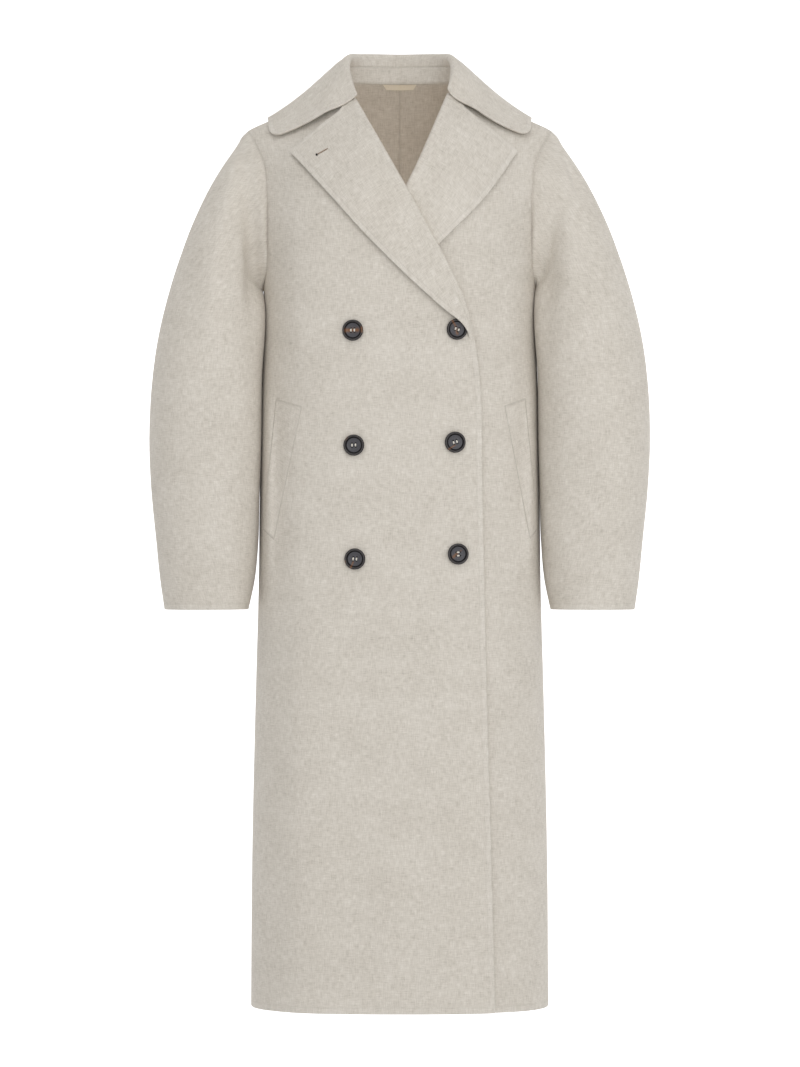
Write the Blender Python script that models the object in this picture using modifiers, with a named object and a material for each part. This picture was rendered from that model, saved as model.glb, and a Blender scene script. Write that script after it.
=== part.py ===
# Long double-breasted wool coat, hollow and filled out as if worn.
# Metres. +Z is up, -Y is the front, +X is the wearer's left. The origin is between the shoulders.
import bmesh
import bpy
import numpy as np
from mathutils import Vector

CLOTH = 0.0025
SEAM_GAP = 0.0003
HEM_Z = -1.187
UNDERARM_Z = -0.262
SLEEVE_GAP = 0.0007

# How many faces each way
BODY_ROWS = 11
ARMHOLE_ROWS = 11
FRONT_COLUMNS = 13
BACK_COLUMNS = 9
SLEEVE_ROWS = 17
LAPEL_ROWS = 15
LAPEL_COLUMNS = 8
COLLAR_COLUMNS = 34
LEAF_ROWS = 6


def table(columns, *rows):
    return dict(zip(columns.split(), np.array(rows, float).T))


# Level sections of the body, as if the shoulders were left square
BODY = table(
    "z half_width front_depth back_depth squareness",
    (HEM_Z, 0.1930, 0.125, 0.121, 2.7),
    (-1.000, 0.1915, 0.125, 0.120, 2.7),
    (-0.790, 0.1870, 0.123, 0.117, 2.6),
    (-0.640, 0.1830, 0.122, 0.114, 2.6),
    (-0.530, 0.1795, 0.121, 0.112, 2.6),
    (-0.400, 0.1775, 0.121, 0.112, 2.5),
    (UNDERARM_Z, 0.1770, 0.124, 0.115, 2.5),
    (-0.150, 0.1880, 0.125, 0.117, 2.5),
    (-0.050, 0.2080, 0.125, 0.115, 2.5),
    (0.070, 0.2150, 0.125, 0.115, 2.5),
)
# Height of the shoulder line at a distance from the middle, carried on under the neck
SHOULDER = table(
    "x z",
    (0.000, 0.052),
    (0.040, 0.036),
    (0.078, 0.012),
    (0.120, -0.015),
    (0.160, -0.036),
    (0.197, -0.053),
    (0.230, -0.072),
)
SHOULDER_X = 0.197
NECK_X = 0.078
BACK_NECK_Z = 0.015
# How far below the shoulder line the front and the back reach full depth, and how round that is
SHOULDER_FALL = {-1: 0.200, 1: 0.160}
SHOULDER_ROUND = {-1: 1.5, 1: 1.8}
# The armhole seam seen from the front, from the underarm (0) to the shoulder (1)
ARMHOLE = table(
    "along x z",
    (0.00, 0.1770, UNDERARM_Z),
    (0.12, 0.1728, -0.240),
    (0.35, 0.1704, -0.196),
    (0.60, 0.1717, -0.1355),
    (0.80, 0.1768, -0.095),
    (1.00, SHOULDER_X, -0.053),
)
# Each front's edge below the lapel, measured from the middle towards its own side
FRONT_EDGE = table(
    "z x",
    (HEM_Z, -0.1210),
    (-0.997, -0.1160),
    (-0.782, -0.1102),
    (-0.530, -0.1046),
    (-0.365, -0.0999),
    (-0.327, -0.0945),
)
# Roll line and outer edge of each lapel, from its foot to the collar, towards its own side
LAPEL = {
    "right": table(
        "along roll_x roll_z edge_x edge_z",
        (0, -0.0945, -0.3270, -0.0915, -0.3285),
        (1, -0.0849, -0.2839, -0.0590, -0.2925),
        (2, -0.0640, -0.2370, -0.0060, -0.2445),
        (3, -0.0350, -0.1830, 0.0475, -0.1900),
        (4, 0.0050, -0.1105, 0.0960, -0.1345),
        (5, 0.0547, -0.0190, 0.1372, -0.0880),
    ),
    "left": table(
        "along roll_x roll_z edge_x edge_z",
        (0, -0.0945, -0.3270, -0.0915, -0.3285),
        (1, -0.0800, -0.2839, -0.0500, -0.2950),
        (2, -0.0540, -0.2370, 0.0050, -0.2500),
        (3, -0.0210, -0.1830, 0.0600, -0.1960),
        (4, 0.0185, -0.1105, 0.1062, -0.1472),
        (5, 0.0600, -0.0125, 0.1491, -0.0855),
    ),
}
# How far a lapel stands off its front at the roll, in the middle and at the outer edge
LAPEL_LIFT = {"right": (0.0012, 0.0046, 0.0032), "left": (0.0012, 0.0018, 0.0018)}
LAPEL_FOOT_LIFT = 0.0058
# The right front lies over the left one: how far out, and where that begins
OVER_LIFT = 0.0044
OVER_LAPEL_LIFT = 0.0080
OVER_FROM_X = 0.168
OVER_FULL_X = 0.128

# Sleeve sections below the armhole: outer side, inner side, half depth and how far forward
SLEEVE = table(
    "outer_x outer_z inner_x inner_z half_depth forward",
    (0.2219, -0.0884, 0.1794, -0.2660, 0.0560, 0.004),
    (0.2401, -0.1170, 0.1790, -0.2710, 0.0600, 0.009),
    (0.2661, -0.1690, 0.1784, -0.2800, 0.0650, 0.015),
    (0.2856, -0.2210, 0.1776, -0.2960, 0.0690, 0.022),
    (0.3012, -0.2730, 0.1766, -0.3250, 0.0710, 0.028),
    (0.3129, -0.3250, 0.1763, -0.3600, 0.0715, 0.031),
    (0.3205, -0.3850, 0.1764, -0.4050, 0.0710, 0.033),
    (0.3233, -0.4550, 0.1768, -0.4620, 0.0690, 0.034),
    (0.3205, -0.5200, 0.1780, -0.5220, 0.0650, 0.035),
    (0.3142, -0.5850, 0.1806, -0.5850, 0.0580, 0.036),
    (0.3090, -0.6370, 0.1870, -0.6370, 0.0500, 0.036),
    (0.3038, -0.6735, 0.1946, -0.6735, 0.0440, 0.036),
)
SLEEVE_SQUARENESS = 2.15
# Soft folds of a sleeve: place round it (0 outside, 90 front), half width, height, start and end along it
SLEEVE_FOLDS = {
    "right": table(
        "round half_width height start end",
        (82, 26, 0.0045, 0.10, 0.55),
        (137, 22, -0.0050, 0.14, 0.60),
        (250, 24, -0.0040, 0.15, 0.55),
    ),
    "left": table(
        "round half_width height start end",
        (60, 16, -0.0035, 0.08, 0.34),
        (104, 26, 0.0045, 0.12, 0.55),
        (140, 20, -0.0045, 0.16, 0.55),
        (255, 24, -0.0040, 0.15, 0.55),
    ),
}
# The collar, station by station round the neck: where it folds over, where it lies, its outer edge
COLLAR = table(
    "station fold_x fold_y fold_z lie_x lie_y edge_x edge_y",
    (0, -0.0547, -0.0590, -0.0100, -0.1052, -0.0587, -0.1558, -0.0422),
    (1, -0.0640, -0.0270, 0.0240, -0.1120, -0.0340, -0.1690, -0.0130),
    (2, -0.0662, 0.0100, 0.0460, -0.1120, 0.0110, -0.1640, 0.0130),
    (3, -0.0480, 0.0560, 0.0525, -0.0760, 0.0660, -0.1040, 0.0700),
    (4, 0.0000, 0.0770, 0.0540, 0.0000, 0.0920, 0.0000, 0.1040),
    (5, 0.0480, 0.0560, 0.0525, 0.0760, 0.0660, 0.1040, 0.0700),
    (6, 0.0662, 0.0100, 0.0460, 0.1120, 0.0110, 0.1640, 0.0130),
    (7, 0.0640, -0.0270, 0.0240, 0.1130, -0.0340, 0.1700, -0.0130),
    (8, 0.0600, -0.0520, -0.0015, 0.1086, -0.0515, 0.1671, -0.0344),
)
COLLAR_EDGE_LIFT = 0.0055
FOLD_RADIUS = 0.0048
TOP_STEEPEST = 4.0
# The stand is this part of the way up to the fold, and starts this many stations from each end
STAND_PART = 0.60
STAND_ENDS = 0.75
STAND_COLUMNS = 26
STAND_GAP = 0.0006
# How much of the way down to the stand the collar's inner side reaches, at its ends and elsewhere
FALL_LEAST = 0.06
FALL_MOST = 0.91
# Where the leaf leaves the fold, and how soon it sinks to the shoulder
LEAF_START = 0.09
LEAF_SINK = 1.25

# Corners of each pocket welt on its front: inner and outer, top and bottom, as (x, z)
WELT = {
    "right": ((0.1254, -0.4147), (0.1586, -0.4048), (0.1615, -0.5840), (0.1752, -0.5714)),
    "left": ((0.1345, -0.4135), (0.1610, -0.4035), (0.1675, -0.5830), (0.1768, -0.5710)),
}
WELT_CLOTH = 0.0016
WELT_LIFT = 0.0014
WELT_ROWS = 7
WELT_COLUMNS = 3

# Buttons on the right front, by name: x and z of each
BUTTONS = {
    "button_upper_right": (-0.0594, -0.3179),
    "button_middle_right": (-0.0581, -0.4641),
    "button_lower_right": (-0.0568, -0.6090),
    "button_upper_left": (0.0725, -0.3166),
    "button_middle_left": (0.0703, -0.4603),
    "button_lower_left": (0.0741, -0.6027),
}
BUTTON_LIFT = 0.0005
BUTTON_STEPS = 24
BUTTON_HOLE_RADIUS = 0.0011
BUTTON_HOLE_SPREAD = 0.0023
# Half outline of a button, from the middle of its back to the middle of its dished face
BUTTON_OUTLINE = table(
    "radius height",
    (0.0000, 0.0000),
    (0.0105, 0.0000),
    (0.0128, 0.0013),
    (0.0130, 0.0028),
    (0.0118, 0.0040),
    (0.0098, 0.0040),
    (0.0084, 0.0030),
    (0.0000, 0.0024),
)

LOOP_TOP_HALF = 0.0230
LOOP_FOOT_HALF = 0.0180
LOOP_TOP_Z = 0.0138
LOOP_FOOT_Z = 0.0052
LOOP_TAPE = 0.0010


# A smooth curve through a table's rows
def curve(rows, by, name, at):
    knots, values = rows[by], rows[name]
    slopes = np.gradient(values, knots)
    at = np.clip(at, knots[0], knots[-1])
    i = np.clip(np.searchsorted(knots, at) - 1, 0, len(knots) - 2)
    step = knots[i + 1] - knots[i]
    t = (at - knots[i]) / step
    start = values[i] * (1 + 2 * t) * (1 - t) ** 2 + slopes[i] * step * t * (1 - t) ** 2
    end = values[i + 1] * t**2 * (3 - 2 * t) + slopes[i + 1] * step * t**2 * (t - 1)
    return start + end


def ease(low, high, at):
    t = np.clip((at - low) / (high - low), 0, 1)
    return t * t * (3 - 2 * t)


def unit(vectors):
    return vectors / np.maximum(np.linalg.norm(vectors, axis=-1, keepdims=True), 1e-12)


def stack(*columns):
    return np.stack(np.broadcast_arrays(*columns), axis=-1)


# Depth of the body at x and z; face is -1 for the front and 1 for the back
def body_y(x, z, face):
    depth = curve(BODY, "z", "front_depth" if face < 0 else "back_depth", z)
    power = curve(BODY, "z", "squareness", z)
    across = np.clip(np.abs(x) / curve(BODY, "z", "half_width", z), 0, 1)
    below = np.clip((curve(SHOULDER, "x", "z", np.abs(x)) - z) / SHOULDER_FALL[face], 0, 1)
    bend = SHOULDER_ROUND[face]
    rounded = (1 - (1 - below) ** bend) ** (1 / bend)
    return face * depth * (1 - across**power) ** (1 / power) * rounded


# x at an angle round the level section, 0 at the middle and a quarter turn at the side seam
def section_x(angle, z):
    power = curve(BODY, "z", "squareness", z)
    return curve(BODY, "z", "half_width", z) * np.sign(angle) * np.abs(np.sin(angle)) ** (2 / power)


def section_angle(x, z):
    power = curve(BODY, "z", "squareness", z)
    across = np.clip(np.abs(x) / curve(BODY, "z", "half_width", z), 0, 1)
    return np.sign(x) * np.arcsin(across ** (power / 2))


# How far the right front stands out where it lies over the left one
def over_lift(side, x, z):
    if side == "left":
        return 0 * x
    lapel = (OVER_LAPEL_LIFT - OVER_LIFT) * ease(-0.40, -0.335, z)
    return (OVER_LIFT + lapel) * ease(-OVER_FROM_X, -OVER_FULL_X, -x) * ease(0.035, 0.125, -z)


def front_points(side, x, z):
    return stack(x, body_y(x, z, -1) - over_lift(side, x, z), z)


def front_normals(side, x, z):
    near = 0.0004
    across = front_points(side, x + near, z) - front_points(side, x - near, z)
    along = front_points(side, x, z + near) - front_points(side, x, z - near)
    return unit(np.cross(across, along))


# Height of the body's top side over a point of the plan
def top_z(x, y):
    face = np.where(y < 0, -1, 1)
    high = curve(SHOULDER, "x", "z", np.abs(x))
    low = high - 0.19
    for _ in range(40):
        middle = (low + high) / 2
        reach = np.where(face < 0, -body_y(x, middle, -1), body_y(x, middle, 1))
        inside = reach > np.abs(y)
        low = np.where(inside, middle, low)
        high = np.where(inside, high, middle)
    return (low + high) / 2


# Height to go up to stand this far off the body's top side, which slopes
def top_lift(x, y, off):
    near = 0.0005
    slope_x = (top_z(x + near, y) - top_z(x - near, y)) / (2 * near)
    slope_y = (top_z(x, y + near) - top_z(x, y - near)) / (2 * near)
    return off * np.sqrt(1 + np.minimum(slope_x**2 + slope_y**2, TOP_STEEPEST**2))


# Normals of a grid of points; wrap closes it round its columns
def grid_normals(points, wrap=False):
    if wrap:
        across = np.roll(points, -1, axis=1) - np.roll(points, 1, axis=1)
    else:
        across = np.gradient(points, axis=1)
    return unit(np.cross(across, np.gradient(points, axis=0)))


# A grid filled in between four boundary curves
def fill(left, right, bottom, top):
    u = np.linspace(0, 1, len(bottom))[None, :, None]
    v = np.linspace(0, 1, len(left))[:, None, None]
    sides = (1 - u) * left[:, None] + u * right[:, None]
    ends = (1 - v) * bottom[None] + v * top[None]
    low = (1 - u) * bottom[0] + u * bottom[-1]
    high = (1 - u) * top[0] + u * top[-1]
    return sides + ends - (1 - v) * low - v * high


def even(points, count):
    steps = np.linalg.norm(np.diff(points, axis=0), axis=1)
    along = np.concatenate([[0], np.cumsum(steps)])
    at = np.linspace(0, along[-1], count)
    return np.stack([np.interp(at, along, points[:, k]) for k in range(points.shape[1])], axis=1)


def named_collection(name):
    group = bpy.data.collections.new(name)
    bpy.context.scene.collection.children.link(group)
    return group


def cloth_material(name, colour, roughness):
    material = bpy.data.materials.new(name)
    material.use_nodes = True
    shader = material.node_tree.nodes["Principled BSDF"]
    shader.inputs["Base Color"].default_value = (*colour, 1)
    shader.inputs["Roughness"].default_value = roughness
    return material


def add_object(name, mesh, group, material):
    mesh.materials.clear()
    mesh.materials.append(material)
    added = bpy.data.objects.new(name, mesh)
    group.objects.link(added)
    return added


# A closed wall lofted between its two faces, each a grid of points
def wall(name, outer, inner, group, material, wrap=False):
    rows, columns = outer.shape[:2]
    index = np.arange(rows * columns).reshape(rows, columns)
    if wrap:
        index = np.concatenate([index, index[:, :1]], axis=1)
    under = index + rows * columns

    def quads(grid):
        corners = (grid[:-1, :-1], grid[:-1, 1:], grid[1:, 1:], grid[1:, :-1])
        return np.stack(corners, axis=-1).reshape(-1, 4)

    rims = [np.stack([under[0], index[0]]), np.stack([index[-1], under[-1]])]
    if not wrap:
        rims += [np.stack([index[:, 0], under[:, 0]]), np.stack([under[:, -1], index[:, -1]])]
    faces = np.concatenate([quads(index), quads(under[:, ::-1])] + [quads(rim) for rim in rims])
    points = np.concatenate([outer.reshape(-1, 3), inner.reshape(-1, 3)])
    mesh = bpy.data.meshes.new(name)
    mesh.from_pydata(points.tolist(), [], faces.tolist())
    shell = bmesh.new()
    shell.from_mesh(mesh)
    bmesh.ops.recalc_face_normals(shell, faces=shell.faces)
    shell.to_mesh(mesh)
    shell.free()
    return add_object(name, mesh, group, material)


# Points turned from a piece's own side to the wearer's right (x mirrored) or left
def to_side(points, side):
    return points * np.array([-1 if side == "right" else 1, 1, 1])


def armhole_curve():
    along = np.linspace(0, 1, 80)
    x = curve(ARMHOLE, "along", "x", along)
    z = curve(ARMHOLE, "along", "z", along)
    return even(stack(x, z), ARMHOLE_ROWS + 1)


# Finish a panel: its seams lie on the plane y = 0 at the side and the shoulder
def panel_normals(points, face):
    normals = grid_normals(points) * np.array(-face)
    normals[: BODY_ROWS + 1, -1, 1] = 0
    normals[-1, :, 1] = np.where(np.abs(points[-1, :, 1]) < 1e-6, 0, normals[-1, :, 1])
    return unit(normals)


def front_panel(side):
    z = np.linspace(HEM_Z, UNDERARM_Z, BODY_ROWS + 1)
    lapel = LAPEL[side]
    roll = even(
        stack(
            curve(lapel, "along", "roll_x", np.linspace(0, 5, 80)),
            curve(lapel, "along", "roll_z", np.linspace(0, 5, 80)),
        ),
        200,
    )
    edge_x = curve(FRONT_EDGE, "z", "x", z)
    edge_x = np.where(z > FRONT_EDGE["z"][-1], np.interp(z, roll[:, 1], roll[:, 0]), edge_x)
    turn = np.linspace(0, 1, FRONT_COLUMNS + 1)[None]
    start = section_angle(edge_x, z)[:, None]
    lower_x = section_x(start + (np.pi / 2 - start) * turn, z[:, None])
    lower = stack(lower_x, z[:, None])
    neck = stack(
        np.linspace(roll[-1, 0], NECK_X, 12)[1:],
        np.linspace(roll[-1, 1], SHOULDER["z"][2], 12)[1:],
    )
    above = np.concatenate([lower[-1:, 0], roll[roll[:, 1] > UNDERARM_Z], neck])
    left = even(above, ARMHOLE_ROWS + 1)
    top_x = np.linspace(NECK_X, SHOULDER_X, FRONT_COLUMNS + 1)
    top = stack(top_x, curve(SHOULDER, "x", "z", top_x))
    upper = fill(left, armhole_curve(), lower[-1], top)
    flat = np.concatenate([lower, upper[1:]])
    points = front_points(side, flat[..., 0], flat[..., 1])
    points[-1, :, 1] = 0
    points[: BODY_ROWS + 1, -1, 1] = 0
    return points, panel_normals(points, -1)


def back_panel():
    z = np.linspace(HEM_Z, UNDERARM_Z, BODY_ROWS + 1)
    turn = np.linspace(0, np.pi / 2, BACK_COLUMNS + 1)[None]
    lower = stack(section_x(turn, z[:, None]), z[:, None])
    left = stack(np.zeros(ARMHOLE_ROWS + 1), np.linspace(UNDERARM_Z, BACK_NECK_Z, ARMHOLE_ROWS + 1))
    along = np.linspace(0, 1, 60)
    neck = stack(NECK_X * along, BACK_NECK_Z + (SHOULDER["z"][2] - BACK_NECK_Z) * along**2)
    line_x = np.linspace(NECK_X, SHOULDER_X, 60)[1:]
    shoulder = stack(line_x, curve(SHOULDER, "x", "z", line_x))
    parts = 4
    top = np.concatenate([even(neck, parts + 1), even(shoulder, BACK_COLUMNS - parts + 1)[1:]])
    top[parts + 1 :, 1] = curve(SHOULDER, "x", "z", top[parts + 1 :, 0])
    upper = fill(left, armhole_curve(), lower[-1], top)
    flat = np.concatenate([lower, upper[1:]])
    points = stack(flat[..., 0], body_y(flat[..., 0], flat[..., 1], 1), flat[..., 1])
    points[-1, parts:, 1] = 0
    points[: BODY_ROWS + 1, -1, 1] = 0
    normals = panel_normals(points, 1)
    normals[:, 0, 0] = 0
    return points, unit(normals)


# Rings of a sleeve from the armhole seam to the cuff
def sleeve_rings(side, front, back):
    ring_x = np.concatenate([front[BODY_ROWS:, -1][::-1], back[BODY_ROWS + 1 : -1, -1]])
    count = len(ring_x)
    turn = np.linspace(0, 2 * np.pi, count, endpoint=False)[None]
    outer = stack(SLEEVE["outer_x"], 0 * SLEEVE["outer_x"], SLEEVE["outer_z"])[:, None]
    inner = stack(SLEEVE["inner_x"], 0 * SLEEVE["inner_x"], SLEEVE["inner_z"])[:, None]
    power = 2 / SLEEVE_SQUARENESS
    across = np.sign(np.cos(turn)) * np.abs(np.cos(turn)) ** power
    deep = np.sign(np.sin(turn)) * np.abs(np.sin(turn)) ** power
    rings = (outer + inner) / 2 + (outer - inner) / 2 * across[..., None]
    rings[..., 1] -= SLEEVE["half_depth"][:, None] * deep + SLEEVE["forward"][:, None]
    seam = ring_x + np.array([SLEEVE_GAP, 0, 0])
    rings = np.concatenate([seam[None], rings])
    at = np.linspace(0, len(rings) - 1, SLEEVE_ROWS + 1)
    knots = {"ring": np.arange(len(rings))}
    smooth = np.empty((len(at), count, 3))
    for k in range(count):
        for axis in range(3):
            smooth[:, k, axis] = curve(knots | {"value": rings[:, k, axis]}, "ring", "value", at)
    normals = grid_normals(smooth, wrap=True)
    part = at[:, None] / at[-1]
    folds = SLEEVE_FOLDS[side]
    for place, width, height, first, last in zip(*(folds[name] for name in folds)):
        near = np.clip(np.abs(np.degrees(turn) - place) / width, 0, 1)
        length = np.clip(np.abs(part - (first + last) / 2) * 2 / (last - first), 0, 1)
        lift = height * (1 - near**2) ** 2 * (1 - length**2) ** 2
        smooth += normals * lift[..., None]
    return smooth, turn


def sleeve(side, front, back, front_n, back_n):
    rings, turn = sleeve_rings(side, front, back)
    normals = grid_normals(rings, wrap=True)
    outward = np.sum(normals * (rings - rings.mean(axis=1, keepdims=True)), axis=-1).mean()
    normals = normals * np.sign(outward)
    body_n = np.concatenate([front_n[BODY_ROWS:, -1][::-1], back_n[BODY_ROWS + 1 : -1, -1]])
    share = np.cos(turn[0] / 2)[:, None] ** 2
    normals[0] = unit(share * body_n + (1 - share) * normals[0])
    return rings, rings - normals * CLOTH


# The neck seam from the right lapel round the back to the left lapel, by collar station
def neck_seam(station):
    ends = {}
    for side in LAPEL:
        ends[side] = (LAPEL[side]["roll_x"][-1], LAPEL[side]["roll_z"][-1])
    knots = table(
        "station x z",
        (0, -ends["right"][0], ends["right"][1]),
        (2, -NECK_X, SHOULDER["z"][2]),
        (4, 0, BACK_NECK_Z),
        (6, NECK_X, SHOULDER["z"][2]),
        (8, ends["left"][0], ends["left"][1]),
    )
    ahead = (station < 2) | (station > 6)
    x = np.interp(station, knots["station"], knots["x"])
    z_front = np.interp(station, knots["station"], knots["z"])
    z_back = BACK_NECK_Z + (SHOULDER["z"][2] - BACK_NECK_Z) * (x / NECK_X) ** 2
    z = np.where(ahead, z_front, z_back)
    y = np.where(ahead, body_y(x, z, -1), body_y(x, z, 1))
    return stack(x, y, z)


def collar_stations(station):
    fold = stack(*(curve(COLLAR, "station", f"fold_{axis}", station) for axis in "xyz"))
    lie = stack(*(curve(COLLAR, "station", f"lie_{axis}", station) for axis in "xy"))
    edge = stack(*(curve(COLLAR, "station", f"edge_{axis}", station) for axis in "xy"))
    out = unit(stack(*(edge - fold[:, :2]).T, np.zeros(len(station))))
    return fold, lie, edge, out


# Top of the collar's inner side, just under the fold
def fold_head(fold, out):
    return fold - out * FOLD_RADIUS * 0.8 - np.array([0, 0, FOLD_RADIUS * 0.9])


# Where the stand's face and the collar's inner face run, from the neck seam (0) to the fold (1)
def stand_face(station, part):
    fold, lie, edge, out = collar_stations(station)
    foot = neck_seam(station) - out * (CLOTH + STAND_GAP) + np.array([0, 0, STAND_GAP])
    return foot + (fold_head(fold, out) - foot) * part, out


def collar_stand(group, material):
    station = np.linspace(STAND_ENDS, 8 - STAND_ENDS, STAND_COLUMNS + 1)
    parts = np.linspace(0, STAND_PART, 4)
    face = np.stack([stand_face(station, part)[0] for part in parts])
    out = stand_face(station, 0)[1]
    wall("collar_stand", face, face + out * CLOTH, group, material)


def collar_fall(group, material):
    station = np.linspace(0, 8, COLLAR_COLUMNS + 1)
    fold, lie, edge, out = collar_stations(station)
    head = fold_head(fold, out)
    seam, _ = stand_face(station, STAND_PART)
    reach = np.clip(np.minimum(station, 8 - station) / STAND_ENDS, 0, 1)[:, None]
    start = head + (seam - head) * (FALL_LEAST + (FALL_MOST - FALL_LEAST) * reach)
    rows = [start, head, fold]
    plan_lift = fold[:, 2] - top_z(fold[:, 0], fold[:, 1])
    for t in np.linspace(LEAF_START, 1, LEAF_ROWS + 1):
        plan = (1 - t) * (1 - 2 * t) * fold[:, :2] + 4 * t * (1 - t) * lie + t * (2 * t - 1) * edge
        edge_lift = top_lift(plan[:, 0], plan[:, 1], COLLAR_EDGE_LIFT)
        lift = edge_lift + (plan_lift - edge_lift) * (1 - t) ** LEAF_SINK
        height = top_z(plan[:, 0], plan[:, 1]) + lift
        rows.append(stack(plan[:, 0], plan[:, 1], height))
    face = np.stack(rows)
    normals = grid_normals(face)
    normals = normals * np.sign(np.mean(normals[-1, :, 2]))
    wall("collar_fall", face, face - normals * CLOTH, group, material)


def lapel_piece(side, group, material):
    along = np.linspace(0, 5, LAPEL_ROWS + 1)[:, None]
    across = np.linspace(0, 1, LAPEL_COLUMNS + 1)[None]
    rows = LAPEL[side]
    x = curve(rows, "along", "roll_x", along) * (1 - across) + curve(rows, "along", "edge_x", along) * across
    z = curve(rows, "along", "roll_z", along) * (1 - across) + curve(rows, "along", "edge_z", along) * across
    near, middle, far = LAPEL_LIFT[side]
    lift = near + (far - near) * across + (middle - (near + far) / 2) * 4 * across * (1 - across)
    if side == "right":
        foot = (1 - ease(1.0, 2.0, along)) * ease(0.0, 0.22, across)
        lift = np.maximum(lift, LAPEL_FOOT_LIFT * foot)
    points = front_points(side, x, z)
    normals = front_normals(side, x, z)
    under = points + normals * lift[..., None]
    wall(
        f"lapel_{side}",
        to_side(under + normals * CLOTH, side),
        to_side(under, side),
        group,
        material,
    )


def pocket_welt(side, group, material):
    u = np.linspace(0, 1, WELT_COLUMNS + 1)[None, :, None]
    v = np.linspace(0, 1, WELT_ROWS + 1)[:, None, None]
    inner_top, outer_top, inner_foot, outer_foot = (np.array(corner) for corner in WELT[side])
    top = (1 - u) * inner_top + u * outer_top
    foot = (1 - u) * inner_foot + u * outer_foot
    flat = (1 - v) * top + v * foot
    points = front_points(side, flat[..., 0], flat[..., 1])
    normals = front_normals(side, flat[..., 0], flat[..., 1])
    under = points + normals * WELT_LIFT
    name = f"pocket_welt_{side}"
    wall(name, to_side(under + normals * WELT_CLOTH, side), to_side(under, side), group, material)


def button_mesh(cutters):
    outline = bpy.data.meshes.new("button outline")
    count = len(BUTTON_OUTLINE["radius"])
    points = [(r, 0, h) for r, h in zip(BUTTON_OUTLINE["radius"], BUTTON_OUTLINE["height"])]
    outline.from_pydata(points, [(k, k + 1) for k in range(count - 1)], [])
    blank = bpy.data.objects.new("button blank", outline)
    cutters.objects.link(blank)
    turned = blank.modifiers.new("turned", "SCREW")
    turned.axis = "Z"
    turned.steps = turned.render_steps = BUTTON_STEPS
    turned.use_merge_vertices = True
    turned.merge_threshold = 0.0001
    turned.use_normal_calculate = True
    drill_mesh = bpy.data.meshes.new("button drills")
    drill = bmesh.new()
    for x in (-BUTTON_HOLE_SPREAD, BUTTON_HOLE_SPREAD):
        for y in (-BUTTON_HOLE_SPREAD, BUTTON_HOLE_SPREAD):
            made = bmesh.ops.create_cone(
                drill,
                cap_ends=True,
                segments=8,
                radius1=BUTTON_HOLE_RADIUS,
                radius2=BUTTON_HOLE_RADIUS,
                depth=0.02,
            )
            bmesh.ops.translate(drill, verts=made["verts"], vec=(x, y, 0))
    drill.to_mesh(drill_mesh)
    drill.free()
    drills = bpy.data.objects.new("button drills", drill_mesh)
    cutters.objects.link(drills)
    drilled = blank.modifiers.new("drilled", "BOOLEAN")
    drilled.operation = "DIFFERENCE"
    drilled.solver = "EXACT"
    drilled.object = drills
    graph = bpy.context.evaluated_depsgraph_get()
    return bpy.data.meshes.new_from_object(blank.evaluated_get(graph))


# A button lies flat against the right front, facing out
def add_buttons(group, material, cutters):
    mesh = button_mesh(cutters)
    for name, (x, z) in BUTTONS.items():
        at = to_side(front_points("right", np.array(-x), np.array(z)), "right")
        out = to_side(front_normals("right", np.array(-x), np.array(z)), "right")
        added = add_object(name, mesh, group, material)
        added.rotation_euler = Vector(out).to_track_quat("Z", "Y").to_euler()
        added.location = at + out * BUTTON_LIFT


def hanger_loop(group, material):
    down = np.linspace(0, 1, 4)[:, None]
    across = np.linspace(-1, 1, 9)[None]
    x = across * (LOOP_TOP_HALF + (LOOP_FOOT_HALF - LOOP_TOP_HALF) * down)
    z = LOOP_TOP_Z + (LOOP_FOOT_Z - LOOP_TOP_Z) * down
    points = stack(x, body_y(x, z, 1), z)
    normals = -grid_normals(points)
    normals = normals * np.sign(normals[..., 1].mean())
    outer = points - normals * (CLOTH + 2 * SEAM_GAP)
    wall("hanger_loop", outer, outer - normals * LOOP_TAPE, group, material)


for old in list(bpy.data.objects):
    bpy.data.objects.remove(old)
coat = named_collection("double_breasted_coat")
helpers = named_collection("cutters")
helpers.hide_render = True

wool = cloth_material("wool", (0.63, 0.59, 0.53), 0.95)
wool_collar = cloth_material("wool collar", (0.63, 0.59, 0.53), 0.95)
wool_lapel = cloth_material("wool lapel", (0.65, 0.61, 0.55), 0.95)
wool_welt = cloth_material("wool welt", (0.62, 0.58, 0.52), 0.95)
horn = cloth_material("horn", (0.03, 0.027, 0.025), 0.35)
tape = cloth_material("tape", (0.66, 0.62, 0.56), 0.9)

back_points, back_n = back_panel()
gap_y = np.array([0, SEAM_GAP / 2, 0])
gap_x = np.array([SEAM_GAP / 2, 0, 0])
for side in ("right", "left"):
    front, front_n = front_panel(side)
    front_inner = front - front_n * CLOTH
    wall(f"front_{side}", to_side(front - gap_y, side), to_side(front_inner - gap_y, side), coat, wool)
    half = back_points + gap_y + gap_x
    half_inner = half - back_n * CLOTH
    wall(f"back_{side}", to_side(half, side), to_side(half_inner, side), coat, wool)
    sleeve_outer, sleeve_inner = sleeve(side, front, back_points, front_n, back_n)
    wall(f"sleeve_{side}", to_side(sleeve_outer, side), to_side(sleeve_inner, side), coat, wool, wrap=True)
    lapel_piece(side, coat, wool_lapel)
    pocket_welt(side, coat, wool_welt)
collar_stand(coat, wool_collar)
collar_fall(coat, wool_collar)
hanger_loop(coat, tape)
add_buttons(coat, horn, helpers)
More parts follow.
